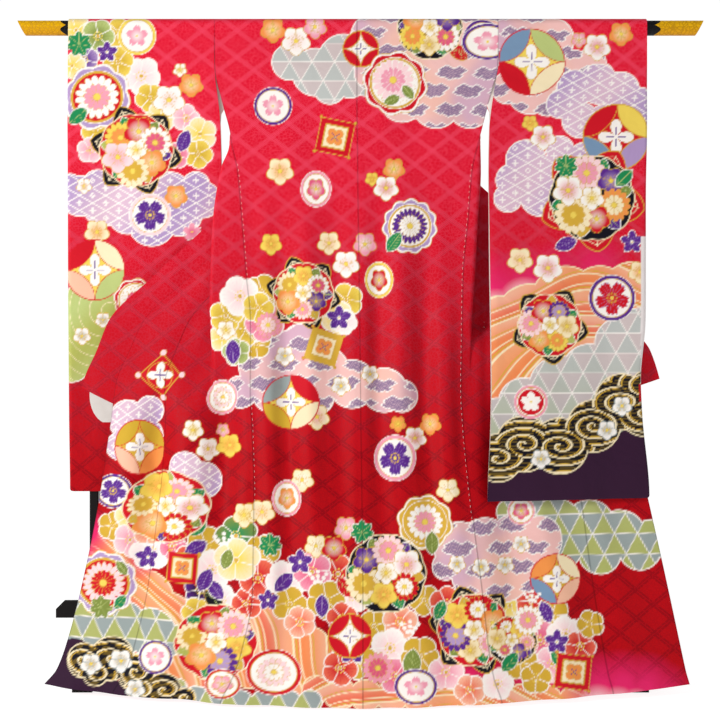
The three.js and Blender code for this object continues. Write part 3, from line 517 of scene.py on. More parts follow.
def make(name, shells, material, node):
    """One object from shells, riding on the root body in place of a CAD node."""
    points, ground, flat, faces = [], [], [], []
    base, corners = 0, []
    for shell in shells:
        coarse = shell.coarse
        printed, lined, rims = shell_faces(shell, base)
        faces += [printed, lined, *rims]
        points += [shell.outer.reshape(-1, 3), shell.inner.reshape(-1, 3)]
        outside = shell.colour.reshape(*shell.shape, 3)
        edge_colours = np.concatenate([outside.reshape(-1, 3), outside[coarse].reshape(-1, 3)])
        inside = np.concatenate([outside.reshape(-1, 3), shell.lining.reshape(-1, 3)])
        corners += [edge_colours[printed.ravel() - base], inside[lined.ravel() - base]]
        corners += [edge_colours[rim.ravel() - base] for rim in rims]
        ground += [shell.ground.ravel(), np.zeros(shell.inner.shape[0] * shell.inner.shape[1])]
        for u, v in (shell.woven, (shell.woven[0][coarse], shell.woven[1][coarse])):
            flat.append(np.stack([u.ravel(), v.ravel()], -1))
        base += shell.outer.shape[0] * shell.outer.shape[1] + shell.inner.shape[0] * shell.inner.shape[1]
    points, flat = np.concatenate(points) / 1000, np.concatenate(flat) / 1000
    loops = np.concatenate([f.ravel() for f in faces]).astype(np.int32)
    sizes = np.concatenate([np.full(len(f), f.shape[1]) for f in faces]).astype(np.int32)
    mesh = bpy.data.meshes.new(name)
    mesh.vertices.add(len(points))
    mesh.vertices.foreach_set("co", points.ravel())
    mesh.loops.add(len(loops))
    mesh.loops.foreach_set("vertex_index", loops)
    mesh.polygons.add(len(sizes))
    mesh.polygons.foreach_set("loop_start", np.concatenate([[0], np.cumsum(sizes)[:-1]]).astype(np.int32))
    mesh.polygons.foreach_set("loop_total", sizes)
    mesh.polygons.foreach_set("use_smooth", np.ones(len(sizes), bool))
    mesh.update(calc_edges=True)
    mesh.uv_layers.new(name="flat").data.foreach_set("uv", flat[loops].ravel())
    paint = mesh.color_attributes.new("print", "FLOAT_COLOR", "CORNER")
    rgba = np.concatenate([np.concatenate(corners), np.ones((len(loops), 1))], 1)
    paint.data.foreach_set("color", rgba.astype(np.float32).ravel())
    ground_values = mesh.attributes.new("ground", "FLOAT", "POINT").data
    ground_values.foreach_set("value", np.concatenate(ground).astype(np.float32))
    mesh.set_sharp_from_angle(angle=math.radians(55))
    mesh.materials.append(material)
    piece = bpy.data.objects.new(name, mesh)
    bpy.context.scene.collection.objects.link(piece)
    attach(piece, "root")
    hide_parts(node)
    return piece


DOWN_PITCH = 2.04  # spacing below the pole, where rows are thousandths of the way to the hem
FAR_ROWS = 220


def over_pole(*lower, tail=0.0):
    """Rows from the flap's edge, over the pole, and on down the parts given."""
    return np.concatenate([spread(-WRAP - FLAP - tail, -WRAP)[:-1], np.linspace(-WRAP, 0, 25)[:-1], *lower])


def far_rows(rows):
    """About half of the rows, in a number that the lining face's spacing divides."""
    half = rows[::2]
    if len(half) % COARSE == 1:
        return half
    return rows[np.linspace(0, len(rows) - 1, FAR_ROWS + 1).round().astype(int)]


ROWS = over_pole(spread(0, 1000, DOWN_PITCH))


def rows_below(first_drop):
    e = drop_of(row_to_e(ROWS, HEM_OVERLAP))
    rows = ROWS[e >= first_drop]
    return rows[(len(rows) - 1) % COARSE:]


shells = {}
for side_name, side in SIDES.items():
    sign = side["sign"]
    shells[f"back_{side_name}"] = [Shell(lambda r, s, side=side: back_panel(side, r, s), ROWS, 112, sign)]
    shells[f"front_{side_name}"] = [
        Shell(lambda r, s, side=side: front_panel(side, r, s), ROWS, 88, sign, pleated=True)]
    shells[f"okumi_{side_name}"] = [
        Shell(lambda r, s, side=side: overlap_panel(side, r, s), rows_below(KENSAKI), 56, sign, pleated=True)]
    sleeve_end = side["sleeve"][1][-1][0] - TOP_DROP
    rows = over_pole(spread(0, sleeve_end - 12)[:-1], np.linspace(sleeve_end - 12, sleeve_end, 13))
    shells[f"sleeve_{side_name}"] = [
        Shell(lambda r, s, side=side: sleeve_face(side, True, r, s), rows, 120, sign),
        Shell(lambda r, s, side=side: sleeve_face(side, False, r, s), far_rows(rows), 60, -sign),
    ]
strips = []
for side_name, side in SIDES.items():
    rows = over_pole(spread(0, collar_end(side), DOWN_PITCH), tail=NECK_TAIL)
    strips.append(
        Shell(lambda r, s, side=side: collar_strip(side, r, s), rows, 28, side["sign"], pleated=True))
strips.append(Shell(neck_band, np.linspace(0, COLLAR, 21), 60, -1))
shells["collar"] = strips
shells["collar_lining"] = [
    Shell(lambda r, s: tongue(SIDES["left"], r, s), np.linspace(850, 918, 25), 20, -1, lift=-2.2)]

# ---- the print: ordinary traditional motifs, painted on the flat cloth


def rgb(r, g, b):
    c = np.array([r, g, b]) / 255
    return np.where(c <= 0.04045, c / 12.92, ((c + 0.055) / 1.055) ** 2.4)


INK = dict(
    white=rgb(250, 246, 238), cream=rgb(248, 232, 190), gold=rgb(214, 172, 62), yellow=rgb(240, 212, 92),
    ochre=rgb(206, 168, 52), orange=rgb(240, 150, 76), coral=rgb(234, 112, 84), peach=rgb(244, 190, 160),
    pink=rgb(240, 158, 178), pale=rgb(250, 214, 216), rose=rgb(226, 92, 130), red=rgb(206, 22, 38),
    purple=rgb(92, 44, 140), lilac=rgb(176, 150, 196), plum=rgb(52, 26, 50), black=rgb(22, 20, 30),
    green=rgb(32, 138, 82), olive=rgb(176, 182, 92), moss=rgb(126, 142, 66), slate=rgb(152, 164, 162),
    mauve=rgb(182, 162, 164), lime=rgb(186, 200, 124), flush=rgb(228, 40, 104), blush=rgb(240, 192, 186),
    fleck=rgb(142, 118, 150), blue=rgb(120, 150, 180),
)
GROUND_TOP, GROUND_LOW = rgb(222, 20, 48), rgb(184, 6, 18)
SOFT = 1.4  # width of a painted edge, in millimetres


class Cloth:
    """All printed faces that share one flat cloth: body, left sleeve, right sleeve."""

    def __init__(self, names):
        self.shells = [s for name in names for s in shells[name]]
        self.u = np.concatenate([s.u.ravel() for s in self.shells])
        self.v = np.concatenate([s.v.ravel() for s in self.shells])
        points = np.concatenate([s.outer.reshape(-1, 3) for s in self.shells]) / 1000
        self.far = points[:, 1] - CAMERA[1]
        self.px = FRAME_PX / 2 + FOCAL_PX * (points[:, 0] - CAMERA[0]) / self.far
        self.py = FRAME_PX / 2 + FOCAL_PX * (CAMERA[2] - points[:, 2]) / self.far
        # the red ground runs darker from the upper body towards the hem
        low = ramp(150, 1100, self.v)[:, None]
        self.colour = mix(GROUND_TOP, GROUND_LOW, low)
        self.ground = np.ones(len(self.u))

    def find(self, x, y):
        """Where a pixel of the photograph lies: flat place, millimetres per pixel, and the
        matrix that takes steps on the flat cloth to steps in the picture, in millimetres."""
        away = (self.px - x) ** 2 + (self.py - y) ** 2
        near = np.flatnonzero(away < max(away.min() * 1.05, 4.0))
        k = near[np.argmin(self.far[near] + away[near] * 1e-4)]
        scale = self.far[k] / FOCAL_PX * 1000
        round_k = (np.abs(self.u - self.u[k]) < 20) & (np.abs(self.v - self.v[k]) < 20)
        at = np.flatnonzero(round_k & (np.abs(self.far - self.far[k]) < 0.03))
        step = np.stack([self.u[at] - self.u[k], self.v[at] - self.v[k]], -1)
        seen = np.stack([self.px[at] - self.px[k], self.py[at] - self.py[k]], -1) * scale
        metric = np.linalg.lstsq(step, seen, rcond=None)[0] if len(at) > 8 else np.eye(2)
        a, stretch, b = np.linalg.svd(metric)
        metric = a @ np.diag(np.clip(stretch, 0.7, 1.4)) @ b
        offset = np.array([x - self.px[k], y - self.py[k]]) * scale @ np.linalg.inv(metric)
        return self.u[k] + offset[0], self.v[k] + offset[1], scale, metric

    def hand_out(self):
        k = 0
        for s in self.shells:
            count = s.u.size
            s.colour, s.ground = self.colour[k:k + count], self.ground[k:k + count]
            k += count


class Patch:
    """The part of a cloth round a place, with local coordinates right and down in millimetres."""

    def __init__(self, cloth, u, v, reach, metric, squash=1.0, turn=0.0):
        self.cloth = cloth
        self.at = np.flatnonzero((np.abs(cloth.u - u) < reach) & (np.abs(cloth.v - v) < reach))
        x, y = (np.stack([cloth.u[self.at] - u, cloth.v[self.at] - v], -1) @ metric).T
        c, s = math.cos(turn), math.sin(turn)
        self.x, self.y = (x * c + y * s) / squash, -x * s + y * c
        self.rho = np.hypot(self.x, self.y)
        self.theta = np.arctan2(self.y, self.x)

    def fill(self, d, colour, line=None, width=1.6):
        """Paints where d < 0, with an outline on d = 0."""
        self.lay(np.clip(0.5 - d / SOFT, 0, 1), colour)
        if line is not None:
            self.lay(np.clip((width / 2 - np.abs(d)) / SOFT + 0.5, 0, 1), line)

    def lay(self, alpha, colour):
        """Paints with a given strength at every point."""
        colour = INK[colour] if isinstance(colour, str) else colour
        at, a = self.at, alpha[:, None]
        self.cloth.colour[at] = self.cloth.colour[at] * (1 - a) + colour * a
        self.cloth.ground[at] *= 1 - alpha

    def lobes(self, n, r, dip, turn=0.0, sharp=1.0):
        """Distance to a rosette outline with n round lobes."""
        wave = 1 - np.abs(np.cos(n / 2 * (self.theta - turn)))
        return self.rho - r * (1 - dip * wave ** sharp)

    def star(self, n, r, low, turn=0.0):
        """Distance to a rosette outline with n pointed petals; low is its waist."""
        t = np.abs(((self.theta - turn) * n / (2 * np.pi)) % 1 - 0.5) * 2
        return (self.rho - r * (low + (1 - low) * (1.5 * t - 0.5 * t * t))) * 0.8

    def rays(self, n, width, turn=0.0):
        """Strength of n thin lines out of the centre."""
        t = ((self.theta - turn) * n / (2 * np.pi)) % 1
        away = np.abs(t - 0.5) * 2 * np.pi / n * self.rho
        return np.clip((width - away) / SOFT + 0.5, 0, 1)


# ---- motifs: each paints round (0, 0) of a patch with radius r in millimetres


CORNERS = (0.785, 2.356, 3.927, 5.498)  # directions of a lozenge's four corners


def plum(p, r, petal="white", shade="pale", line="gold", turn=0.3):
    d = p.lobes(5, r, 0.26, turn, 0.8)
    p.fill(d, petal, line, 1.6)
    p.lay(np.clip(1.2 - p.rho / (0.62 * r), 0, 1) * (d < 0) * 0.75, shade)
    p.lay(p.rays(5, 0.6, turn) * (p.rho < 0.9 * r) * (p.rho > 0.2 * r) * (d < 0) * 0.8, line)
    p.lay(p.rays(15, 0.35, turn + 0.2) * (np.abs(p.rho - 0.38 * r) < 0.14 * r) * 0.9, "ochre")
    p.fill(p.rho - 0.16 * r, "yellow", "ochre", 1.0)


def cherry(p, r, petal="pale", heart="rose", line="white", turn=0.94):
    t = np.abs(((p.theta - turn) * 5 / (2 * np.pi)) % 1 - 0.5) * 2
    d = p.rho - r * (0.42 + 0.58 * np.sqrt(np.clip(t, 0, 1)) - 0.18 * np.clip(t * 8 - 7, 0, 1))
    p.fill(d, petal, line, 1.4)
    p.lay(np.clip(1 - p.rho / (0.6 * r), 0, 1) * (d < 0), heart)
    p.fill(p.rho - 0.1 * r, "yellow")


def pink_fringe(p, r, petal="purple", line="lilac", turn=0.3):
    """Fringed five-petal blossom with fine veins."""
    d = p.rho - r * (1.06 - 0.4 * np.abs(np.sin(2.5 * (p.theta - turn))) ** 9 + 0.05 * np.cos(25 * p.theta))
    p.fill(d, petal, line, 1.0)
    p.lay(p.rays(20, 0.35, turn) * (d < -0.5) * (p.rho > 0.2 * r) * 0.5, line)
    p.fill(np.abs(p.rho - 0.3 * r) - 0.6 - 1.2 * (np.cos(8 * p.theta) > 0.4), "gold")
    p.fill(p.rho - 0.12 * r, "yellow")


def bell(p, r, petal="purple", line="white", turn=-0.3):
    d = p.star(5, r, 0.55, turn)
    p.fill(d, petal, line, 1.6)
    p.lay(p.rays(10, 0.4, turn) * (d < -0.5) * 0.6, "lilac")
    p.fill(p.rho - 0.14 * r, "white")
    p.fill(p.rho - 0.07 * r, "yellow")


def kiku(p, r, petals=("white", "pink"), n=20, eye="yellow", line="gold", turn=0.0):
    """Chrysanthemum with two turns of narrow petals."""
    for size, colour, k in ((1.0, petals[0], n), (0.62, petals[1], n * 3 // 4)):
        d = p.lobes(k, r * size, 0.2, turn + size, 1.2)
        p.fill(d, colour, line, 1.0)
        p.lay(p.rays(k, 0.4, turn + size) * (d < 0) * (p.rho > 0.15 * r) * 0.75, line)
    p.fill(p.rho - 0.17 * r, eye, "ochre", 0.8)


def sprig(p, r, colour="white"):
    """Small wisteria-like sprig of white buds."""
    for k in range(9):
        a = -1.57 + (k % 3 - 1) * 0.62
        reach = r * (0.3 + 0.3 * (k // 3))
        p.fill(np.hypot(p.x - reach * math.cos(a), p.y - reach * math.sin(a)) - r * 0.13, colour)


def leaf(p, r, colour="green", line="white", vein="lime"):
    d = np.hypot(np.abs(p.x) + 0.55 * r, p.y) - 1.12 * r
    p.fill(d * 0.9, colour, line, 1.4)
    p.lay(np.clip(0.9 - np.abs(p.x), 0, 1) * (d < 0), vein)
    slant = (p.y + np.abs(p.x) * 0.9) % (0.28 * r) - 0.14 * r
    p.lay(np.clip(0.8 - np.abs(slant), 0, 1) * (d < -1) * 0.7, vein)


def fan_leaf(p, r, colour="green", line="white"):
    d = p.lobes(7, r, 0.3, 0.2, 0.8)
    p.fill(d, colour, line, 1.4)
    p.lay(p.rays(7, 0.5, 0.2 + math.pi / 7) * (d < 0), "lime")


def shippo(p, r, field="yellow", petals=("cream", "orange", "slate", "pink"), line="red"):
    """Ring with four pointed petals and a small flower between them."""
    d = p.rho - r
    p.fill(d, field, line, 2.0)
    for k, colour in enumerate(petals):
        a = math.pi / 4 + k * math.pi / 2
        cx, cy = r * math.sqrt(2) * math.cos(a), r * math.sqrt(2) * math.sin(a)
        p.fill(np.maximum(np.hypot(p.x - cx, p.y - cy) - r, d), colour, line, 1.6)
    flower = p.rho - r * (0.08 + 0.46 * np.abs(np.cos(2 * p.theta)) ** 0.9)
    p.fill(flower, "white", "gold", 1.2)
    p.lay(p.rays(4, 1.1, math.pi / 4) * (p.rho < 0.3 * r) * (p.rho > 0.06 * r), "purple")
    p.lay(np.clip((1.0 - np.abs(d)) / SOFT + 0.5, 0, 1), line)


def roundel(p, r, ring="purple", field="cream", flower="cherry", petal="rose", line="gold"):
    p.fill(p.rho - r, ring, "white", 1.2)
    p.fill(p.rho - 0.84 * r, "white", line, 1.4)
    p.fill(p.rho - 0.76 * r, field)
    FLOWERS[flower](p, 0.62 * r, petal)


def scalloped(p, r, rim="lilac", field="red", petals=("white", "pink"), n=16):
    """Large roundel: scalloped rim, gold ring, and a chrysanthemum in it."""
    p.fill(p.lobes(n // 2, r, 0.1, 0.2, 0.8), "white", "gold", 1.2)
    p.fill(p.lobes(n // 2, 0.93 * r, 0.1, 0.2, 0.8), rim)
    p.fill(p.rho - 0.78 * r, "gold", "white", 1.4)
    p.fill(p.rho - 0.7 * r, field)
    kiku(p, 0.64 * r, petals, n)


def lozenge(p, r, colour="red", flower="orange"):
    for size, ink, line in ((1.0, colour, "gold"), (0.72, "gold", colour), (0.64, "cream", "ochre")):
        p.fill(np.maximum(np.abs(p.x), np.abs(p.y)) - r * size, ink, line, 1.6)
    for a in CORNERS:
        petal = near(p, 0.3 * r * math.cos(a), 0.3 * r * math.sin(a))
        petal.fill(petal.rho - 0.25 * r, flower, "gold", 0.8)
    p.lay(p.rays(4, 0.7, 0) * (p.rho < 0.3 * r), "purple")
    for a in CORNERS:
        x, y = 1.46 * r * math.cos(a), 1.46 * r * math.sin(a)
        p.fill(np.hypot(p.x - x, p.y - y) - 0.1 * r, "gold", "red", 0.8)


def star_lozenge(p, r):
    """Gold-edged lozenge with a white four-pointed flower and a pink tassel at each corner."""
    square = np.maximum(np.abs(p.x), np.abs(p.y))
    p.fill(square - r, "red", "gold", 2.2)
    p.fill(p.rho - 0.86 * r, "red", "gold", 1.6)
    p.fill(p.star(4, 0.9 * r, 0.3, math.pi / 4), "white", "gold", 1.2)
    p.lay(p.rays(4, 1.0, 0) * (p.rho < 0.4 * r), "purple")
    for a in CORNERS:
        x, y = 1.5 * r * math.cos(a), 1.5 * r * math.sin(a)
        p.fill(np.hypot(p.x - x, p.y - y) - 0.2 * r, "pale", "gold", 0.8)


def medallion(p, r, leaves=5, back="black", ground="red", seed=1, turn=0.2):
    """Round bouquet of generic blossoms, on pointed dark leaves or on none."""
    if leaves:
        d = p.star(leaves, 1.28 * r, 0.6, turn)
        p.fill(d, back, "gold", 2.0)
        p.fill(np.abs(d + 0.13 * r) - 0.7, "cream")
        p.lay(p.rays(leaves, 0.8, turn - math.pi / leaves) * (d < -0.1 * r), "cream")
    disc = p.lobes(10, 1.02 * r, 0.04)
    p.fill(disc, ground)
    draw = np.random.default_rng(seed)
    inks = [("white", "rose"), ("yellow", "orange"), ("red", "white"), ("pale", "pink"), ("cream", "gold"),
            ("orange", "cream"), ("purple", "lilac")]
    order = draw.permutation(len(inks))
    start = draw.uniform(0, 6.28)
    greens = ("green", "moss", "purple", "gold", "green", "olive")
    for k in range(6):
        a = start + (k + 0.5) * math.pi / 3
        leaf(near(p, 0.66 * r * math.cos(a), 0.66 * r * math.sin(a), a + 1.57), 0.34 * r, greens[k])
    for k in range(6):
        a = start + k * math.pi / 3
        reach = r * draw.uniform(0.5, 0.62)
        sub = near(p, reach * math.cos(a), reach * math.sin(a))
        petal, heart = inks[order[k]]
        size = r * draw.uniform(0.34, 0.46)
        if k % 2 == 0:
            kiku(sub, size, (petal, heart), 14)
        else:
            plum(sub, size, petal, heart)
    plum(near(p, 0, 0), 0.3 * r, "white", "yellow")
    p.lay(np.clip((1.2 - np.abs(disc)) / SOFT + 0.5, 0, 1), "cream")


def near(p, x, y, turn=0.0):
    """The same patch seen from another centre, turned."""
    q = object.__new__(Patch)
    q.cloth, q.at = p.cloth, p.at
    c, s = math.cos(turn), math.sin(turn)
    q.x, q.y = (p.x - x) * c + (p.y - y) * s, (p.y - y) * c - (p.x - x) * s
    q.rho, q.theta = np.hypot(q.x, q.y), np.arctan2(q.y, q.x)
    return q


FLOWERS = {
    "cherry": lambda p, r, petal: cherry(p, r, petal, "white"),
    "plum": lambda p, r, petal: plum(p, r, petal, "white"),
    "fringe": lambda p, r, petal: pink_fringe(p, 1.08 * r, petal),
    "kiku": lambda p, r, petal: kiku(p, r, (petal, "white"), 14),
}


# ---- patterns that fill clouds and bands, from flat coordinates

def lines(value, pitch, width):
    """Strength of lines at every multiple of pitch."""
    away = np.abs((value / pitch + 0.5) % 1 - 0.5) * pitch
    return np.clip((width - away) / SOFT + 0.5, 0, 1)


def triangles(u, v, _):
    h = 44.0
    a, b, c = v / h, (0.866 * u + 0.5 * v) / h, (0.866 * u - 0.5 * v) / h
    odd = (np.floor(a) + np.floor(b) + np.floor(c)) % 2
    low = ramp(700, 1150, v)[:, None]
    grey, rosy = mix(INK["slate"], INK["olive"], low * 0.85), mix(INK["mauve"], INK["slate"], low)
    colour = mix(np.where(odd[:, None] > 0, grey, rosy), INK["white"], 0.3 * (1 - low))
    slants = v, 0.866 * u + 0.5 * v, 0.866 * u - 0.5 * v
    seams = np.maximum.reduce([lines(slant, h, 1.0) for slant in slants])
    return mix(colour, INK["white"], 0.85 * seams[:, None])


def lattice(u, v, _):
    pitch = 34.0
    a, b = u * 0.58 + v, u * 0.58 - v
    base = mix(INK["lilac"], INK["pale"], (0.5 + 0.5 * np.sin(u / 47 + v / 61))[:, None] * 0.55)
    colour = mix(base, INK["white"], np.maximum(lines(a, pitch, 1.4), lines(b, pitch, 1.4))[:, None])
    ca = ((a / pitch) % 1 - 0.5) * pitch
    cb = ((b / pitch) % 1 - 0.5) * pitch
    x, y = (ca + cb) / 1.16, (ca - cb) / 2
    rho, theta = np.hypot(x, y), np.arctan2(y, x)
    dot = np.clip((7.5 * np.abs(np.cos(2 * theta)) - rho) / SOFT + 0.5, 0, 1)
    return mix(colour, INK["white"], dot[:, None] * 0.9)


def bark(u, v, _):
    """Pine-bark flecks: lobed patches on a blushing ground."""
    base = mix(INK["blush"], INK["lilac"], 0.5 * ramp(0.2, 1.0, np.sin(u / 58 + v / 75 + 1.0))[:, None])
    base = mix(base, INK["peach"], 0.4 * ramp(0.2, 1.0, np.sin(u / 41 - v / 66))[:, None])
    wide, tall = 84.0, 44.0
    row = np.floor(v / tall)
    column_at = np.floor(u / wide + 0.5 * (row % 2))
    chance = (np.sin(row * 127.1 + column_at * 311.7) * 43758.5) % 1
    x = ((u / wide + 0.5 * (row % 2)) % 1 - 0.5) * wide - 12 * (chance - 0.5)
    y = ((v / tall) % 1 - 0.5) * tall - 8 * ((chance * 7) % 1 - 0.5)
    size = 1.0 + 0.35 * ((chance * 13) % 1)
    lobes = (-22, 4, 7), (-10, -5, 10), (4, 3, 11), (19, -4, 9), (-4, 9, 8), (14, 9, 6)
    d = np.minimum.reduce([(np.abs(x - cx) / 1.7 + np.abs(y - cy) - r * size) * 0.8 for cx, cy, r in lobes])
    vein = lines(x * 0.8 + y + 2 * np.sin(x / 3), 5.0, 0.6)
    shade = mix(INK["fleck"], INK["pale"], 0.5 * vein[:, None])
    colour = mix(base, shade, np.clip(0.5 - d / 1.8, 0, 1)[:, None])
    return mix(colour, INK["white"], (np.clip(1.5 - np.abs(d), 0, 1) * 0.95)[:, None])


def waves(u, v, discs):
    """Flowing water: long arcs round the zone's last disc."""
    cu, cv = discs[-1][0], discs[-1][1]
    bend = np.hypot(u - cu, v - cv) + 9 * np.sin(u / 46) + 7 * np.sin(v / 31)
    colour = mix(INK["coral"], INK["peach"], 0.85 * ramp(0.15, 0.95, (bend / 58) % 1)[:, None])
    colour = mix(colour, INK["orange"], (0.3 + 0.3 * np.sin(bend / 37 + u / 60))[:, None])
    gilded = np.maximum(lines(bend - 5, 58, 1.3), lines(bend - 34, 58, 1.0))
    colour = mix(colour, INK["gold"], gilded[:, None])
    cut = np.maximum.reduce([lines(bend, 58, 1.9), lines(bend - 11, 58, 1.2), lines(bend - 29, 58, 1.2)])
    return mix(colour, INK["cream"], cut[:, None])


def swirls(u, v, discs):
    away = np.stack([np.hypot(u - cu, (v - cv) * 1.7) for cu, cv, *_ in discs])
    k = np.argmin(away, axis=0)
    rho = away[k, np.arange(len(u))]
    cu, cv = np.array([d[0] for d in discs])[k], np.array([d[1] for d in discs])[k]
    turn = np.arctan2(v - cv, u - cu) / (2 * np.pi)
    grain = 0.2 * (np.sin(u * 2.1 + v) * np.sin(v * 2.3) > 0.2)
    colour = mix(INK["black"], INK["ochre"], grain[:, None])
    flow = rho + 26 * turn + 2 * np.sin(u / 19)
    colour = mix(colour, INK["gold"], lines(flow + 6, 26.0, 1.5)[:, None])
    return mix(colour, INK["cream"], lines(flow, 26.0, 2.4)[:, None])


def plain(name):
    return lambda u, v, _: np.broadcast_to(INK[name], (len(u), 3))


def ripples(u, v, discs):
    """Pale green with thin flowing lines."""
    cu, cv = discs[-1][0], discs[-1][1]
    bend = np.hypot(u - cu, v - cv) + 5 * np.sin(u / 23)
    base = mix(INK["lime"], INK["olive"], (0.5 + 0.5 * np.sin(u / 40 + v / 33))[:, None])
    return mix(base, INK["cream"], 0.8 * lines(bend, 22.0, 0.8)[:, None])


PATTERNS = {
    "tri": triangles, "lattice": lattice, "bark": bark, "waves": waves, "swirls": swirls,
    "plum": plain("plum"), "lime": ripples, "glow": plain("pale"), "flush": plain("flush"),
}


CLOUD_LINE = 2.6  # width of a cloud's outline, in millimetres


def zone(cloth, pattern, text, line="white", soft=SOFT):
    """A cloud: the union of discs given as "x y r" in the photograph's pixels."""
    discs = []
    for item in text.split(","):
        x, y, r = (float(value) for value in item.split())
        u, v, scale, metric = cloth.find(x, y)
        discs.append((u, v, r * scale, metric))
    d = np.full(len(cloth.u), 1e6)
    for u, v, r, metric in discs:
        step = np.stack([cloth.u - u, cloth.v - v], -1) @ metric
        d = np.minimum(d, np.hypot(step[:, 0], step[:, 1]) - r)
    at = np.flatnonzero(d < 4 + soft / 2)
    p = object.__new__(Patch)
    p.cloth, p.at = cloth, at
    d = d[at]
    p.lay(np.clip(0.5 - d / soft, 0, 1), PATTERNS[pattern](cloth.u[at], cloth.v[at], discs))
    if line:
        p.lay(np.clip((CLOUD_LINE / 2 - np.abs(d)) / SOFT + 0.5, 0, 1), line)


def motif(cloth, kind, x, y, r, *args, squash=1.0, turn=0.0, **options):
    """One motif whose middle shows at a pixel of the photograph."""
    u, v, scale, metric = cloth.find(x, y)
    kind(Patch(cloth, u, v, 2.5 * r * scale, metric, squash, turn), r * scale, *args, **options)


def petals(p, r, colour, shade, turn=0.0):
    """One big soft blossom of a flower cloud."""
    d = p.lobes(5, r, 0.16, turn, 1.3)
    p.fill(d, colour, "white", 2.6)
    p.lay(np.clip(1.3 - p.rho / (0.75 * r), 0, 1) * (d < -1) * 0.95, shade)
    p.lay(p.rays(25, 0.35, turn) * (d < -3) * (p.rho > 0.3 * r) * 0.5, shade)
    p.lay(p.rays(5, 1.0, turn) * (d < -1) * (p.rho > 0.2 * r) * 0.9, "white")
    p.fill(np.abs(p.rho - 0.24 * r) - 1.6 * (np.cos(9 * p.theta) > 0.3), "yellow")
    p.fill(p.rho - 0.12 * r, "gold", "white", 1.0)


SHADES = {
    "coral": "red", "moss": "green", "purple": "plum", "yellow": "ochre", "cream": "yellow", "pale": "pink",
    "pink": "rose", "white": "pale", "peach": "coral", "lime": "moss", "ochre": "gold", "lilac": "purple",
    "gold": "ochre",
}


def bouquet(cloth, text):
    """A flower cloud of overlapping blossoms, given as "x y r colour" in pixels."""
    for k, item in enumerate(text.split(",")):
        x, y, r, colour = item.split()
        motif(cloth, petals, float(x), float(y), float(r), colour, SHADES[colour], turn=0.7 * k)


KINDS = {kind.__name__: kind for kind in (
    plum, cherry, bell, kiku, sprig, leaf, fan_leaf, shippo, roundel, scalloped, lozenge, star_lozenge,
    medallion)}


def value_of(word):
    """A word of a motif's row: a number, a name, or names joined by + as a tuple."""
    if "+" in word:
        return tuple(word.split("+"))
    if word.isdigit():
        return int(word)
    return float(word) if word.lstrip("-").replace(".", "", 1).isdigit() else word


def print_motifs(cloth, table):
    """Paints the rows of a table in order, later ones over earlier ones."""
    for row in table.strip().splitlines():
        kind, *words = row.split()
        options = dict(w.split("=") for w in words if "=" in w)
        values = [value_of(w) for w in words if "=" not in w]
        motif(cloth, KINDS[kind], *values, **{key: value_of(w) for key, w in options.items()})


body = Cloth([n for n in shells if not n.startswith("sleeve") and n != "collar_lining"])
left = Cloth(["sleeve_left"])
right = Cloth(["sleeve_right"])

# -- left sleeve
bouquet(left, "76 30 17 cream,120 33 16 yellow,98 36 17 lime,84 60 15 lilac,141 76 19 white,"
        "118 62 16 yellow,150 98 15 yellow,72 66 14 cream,160 118 15 cream")
zone(left, "lattice", "80 196 20,104 204 22,128 214 20,152 222 24,180 214 22,203 200 18,170 192 20,"
     "132 192 18,98 186 16,70 186 12,196 186 14")
zone(left, "lime", "90 300 24,76 330 26,96 340 22,72 362 20,86 356 16,110 310 16")
bouquet(left, "186 118 14 pale,200 134 17 cream,198 154 15 yellow,176 156 13 pink,96 130 15 yellow,"
        "90 150 13 pale")

# -- right sleeve
zone(right, "bark", "500 40 26,526 32 26,552 40 22,576 66 16,592 62 14,602 74 12,560 80 26,530 92 22,"
     "508 88 16,548 98 18")
zone(right, "lattice", "575 88 18,598 84 20,620 92 20,640 104 16,636 130 20,606 128 24,580 120 18,"
     "560 104 14,526 160 20,548 176 20,512 180 16,540 196 20,508 198 14,566 196 16,586 160 18,560 150 14")
zone(right, "flush", "492 300 34,530 290 28,560 280 22,596 270 20", line=None, soft=90)
zone(right, "glow", "496 322 24,524 302 16,556 286 12", line=None, soft=44)
zone(right, "waves", "500 330 34,530 318 34,566 300 34,600 296 30,632 292 30,500 372 32,530 360 34,"
     "564 338 30,600 330 30,516 396 26,640 318 24,590 450 4", line="cream")
zone(right, "tri", "560 386 30,590 372 28,620 344 26,640 330 22,630 372 30,560 410 30,524 404 26,"
     "592 404 30,630 400 30,498 420 22,512 430 18,610 420 26,640 350 24")
zone(right, "plum", "490 480 40,530 480 40,570 478 40,610 474 42,650 466 44,650 440 22,500 510 40,"
     "560 510 40,620 510 40,650 510 40", line=None)
zone(right, "swirls", "622 402 28,594 426 26,644 412 24,560 446 28,524 444 28,498 458 24,646 384 14",
     line="cream")

# -- body, upper part
zone(body, "tri", "290 62 18,316 72 24,344 60 26,366 78 18,330 88 16,350 82 16")
zone(body, "bark", "380 40 30,410 56 26,450 66 34,480 80 34,520 82 34,470 106 22,436 104 24,402 100 22,"
     "560 88 26,500 50 34,540 46 32,372 72 18,430 30 30,474 28 26,540 108 18")
zone(body, "bark", "262 366 26,292 360 30,324 372 26,352 384 24,384 390 22,402 396 16,240 392 16,"
     "270 394 18,318 398 16,300 342 18")
bouquet(body, "262 292 18 ochre,346 300 17 yellow,338 318 17 cream,256 344 15 ochre,246 330 17 yellow,"
        "222 338 14 cream,264 322 20 pink,226 316 17 yellow,240 296 20 white,258 308 16 yellow,"
        "236 352 14 lime,344 322 13 white")
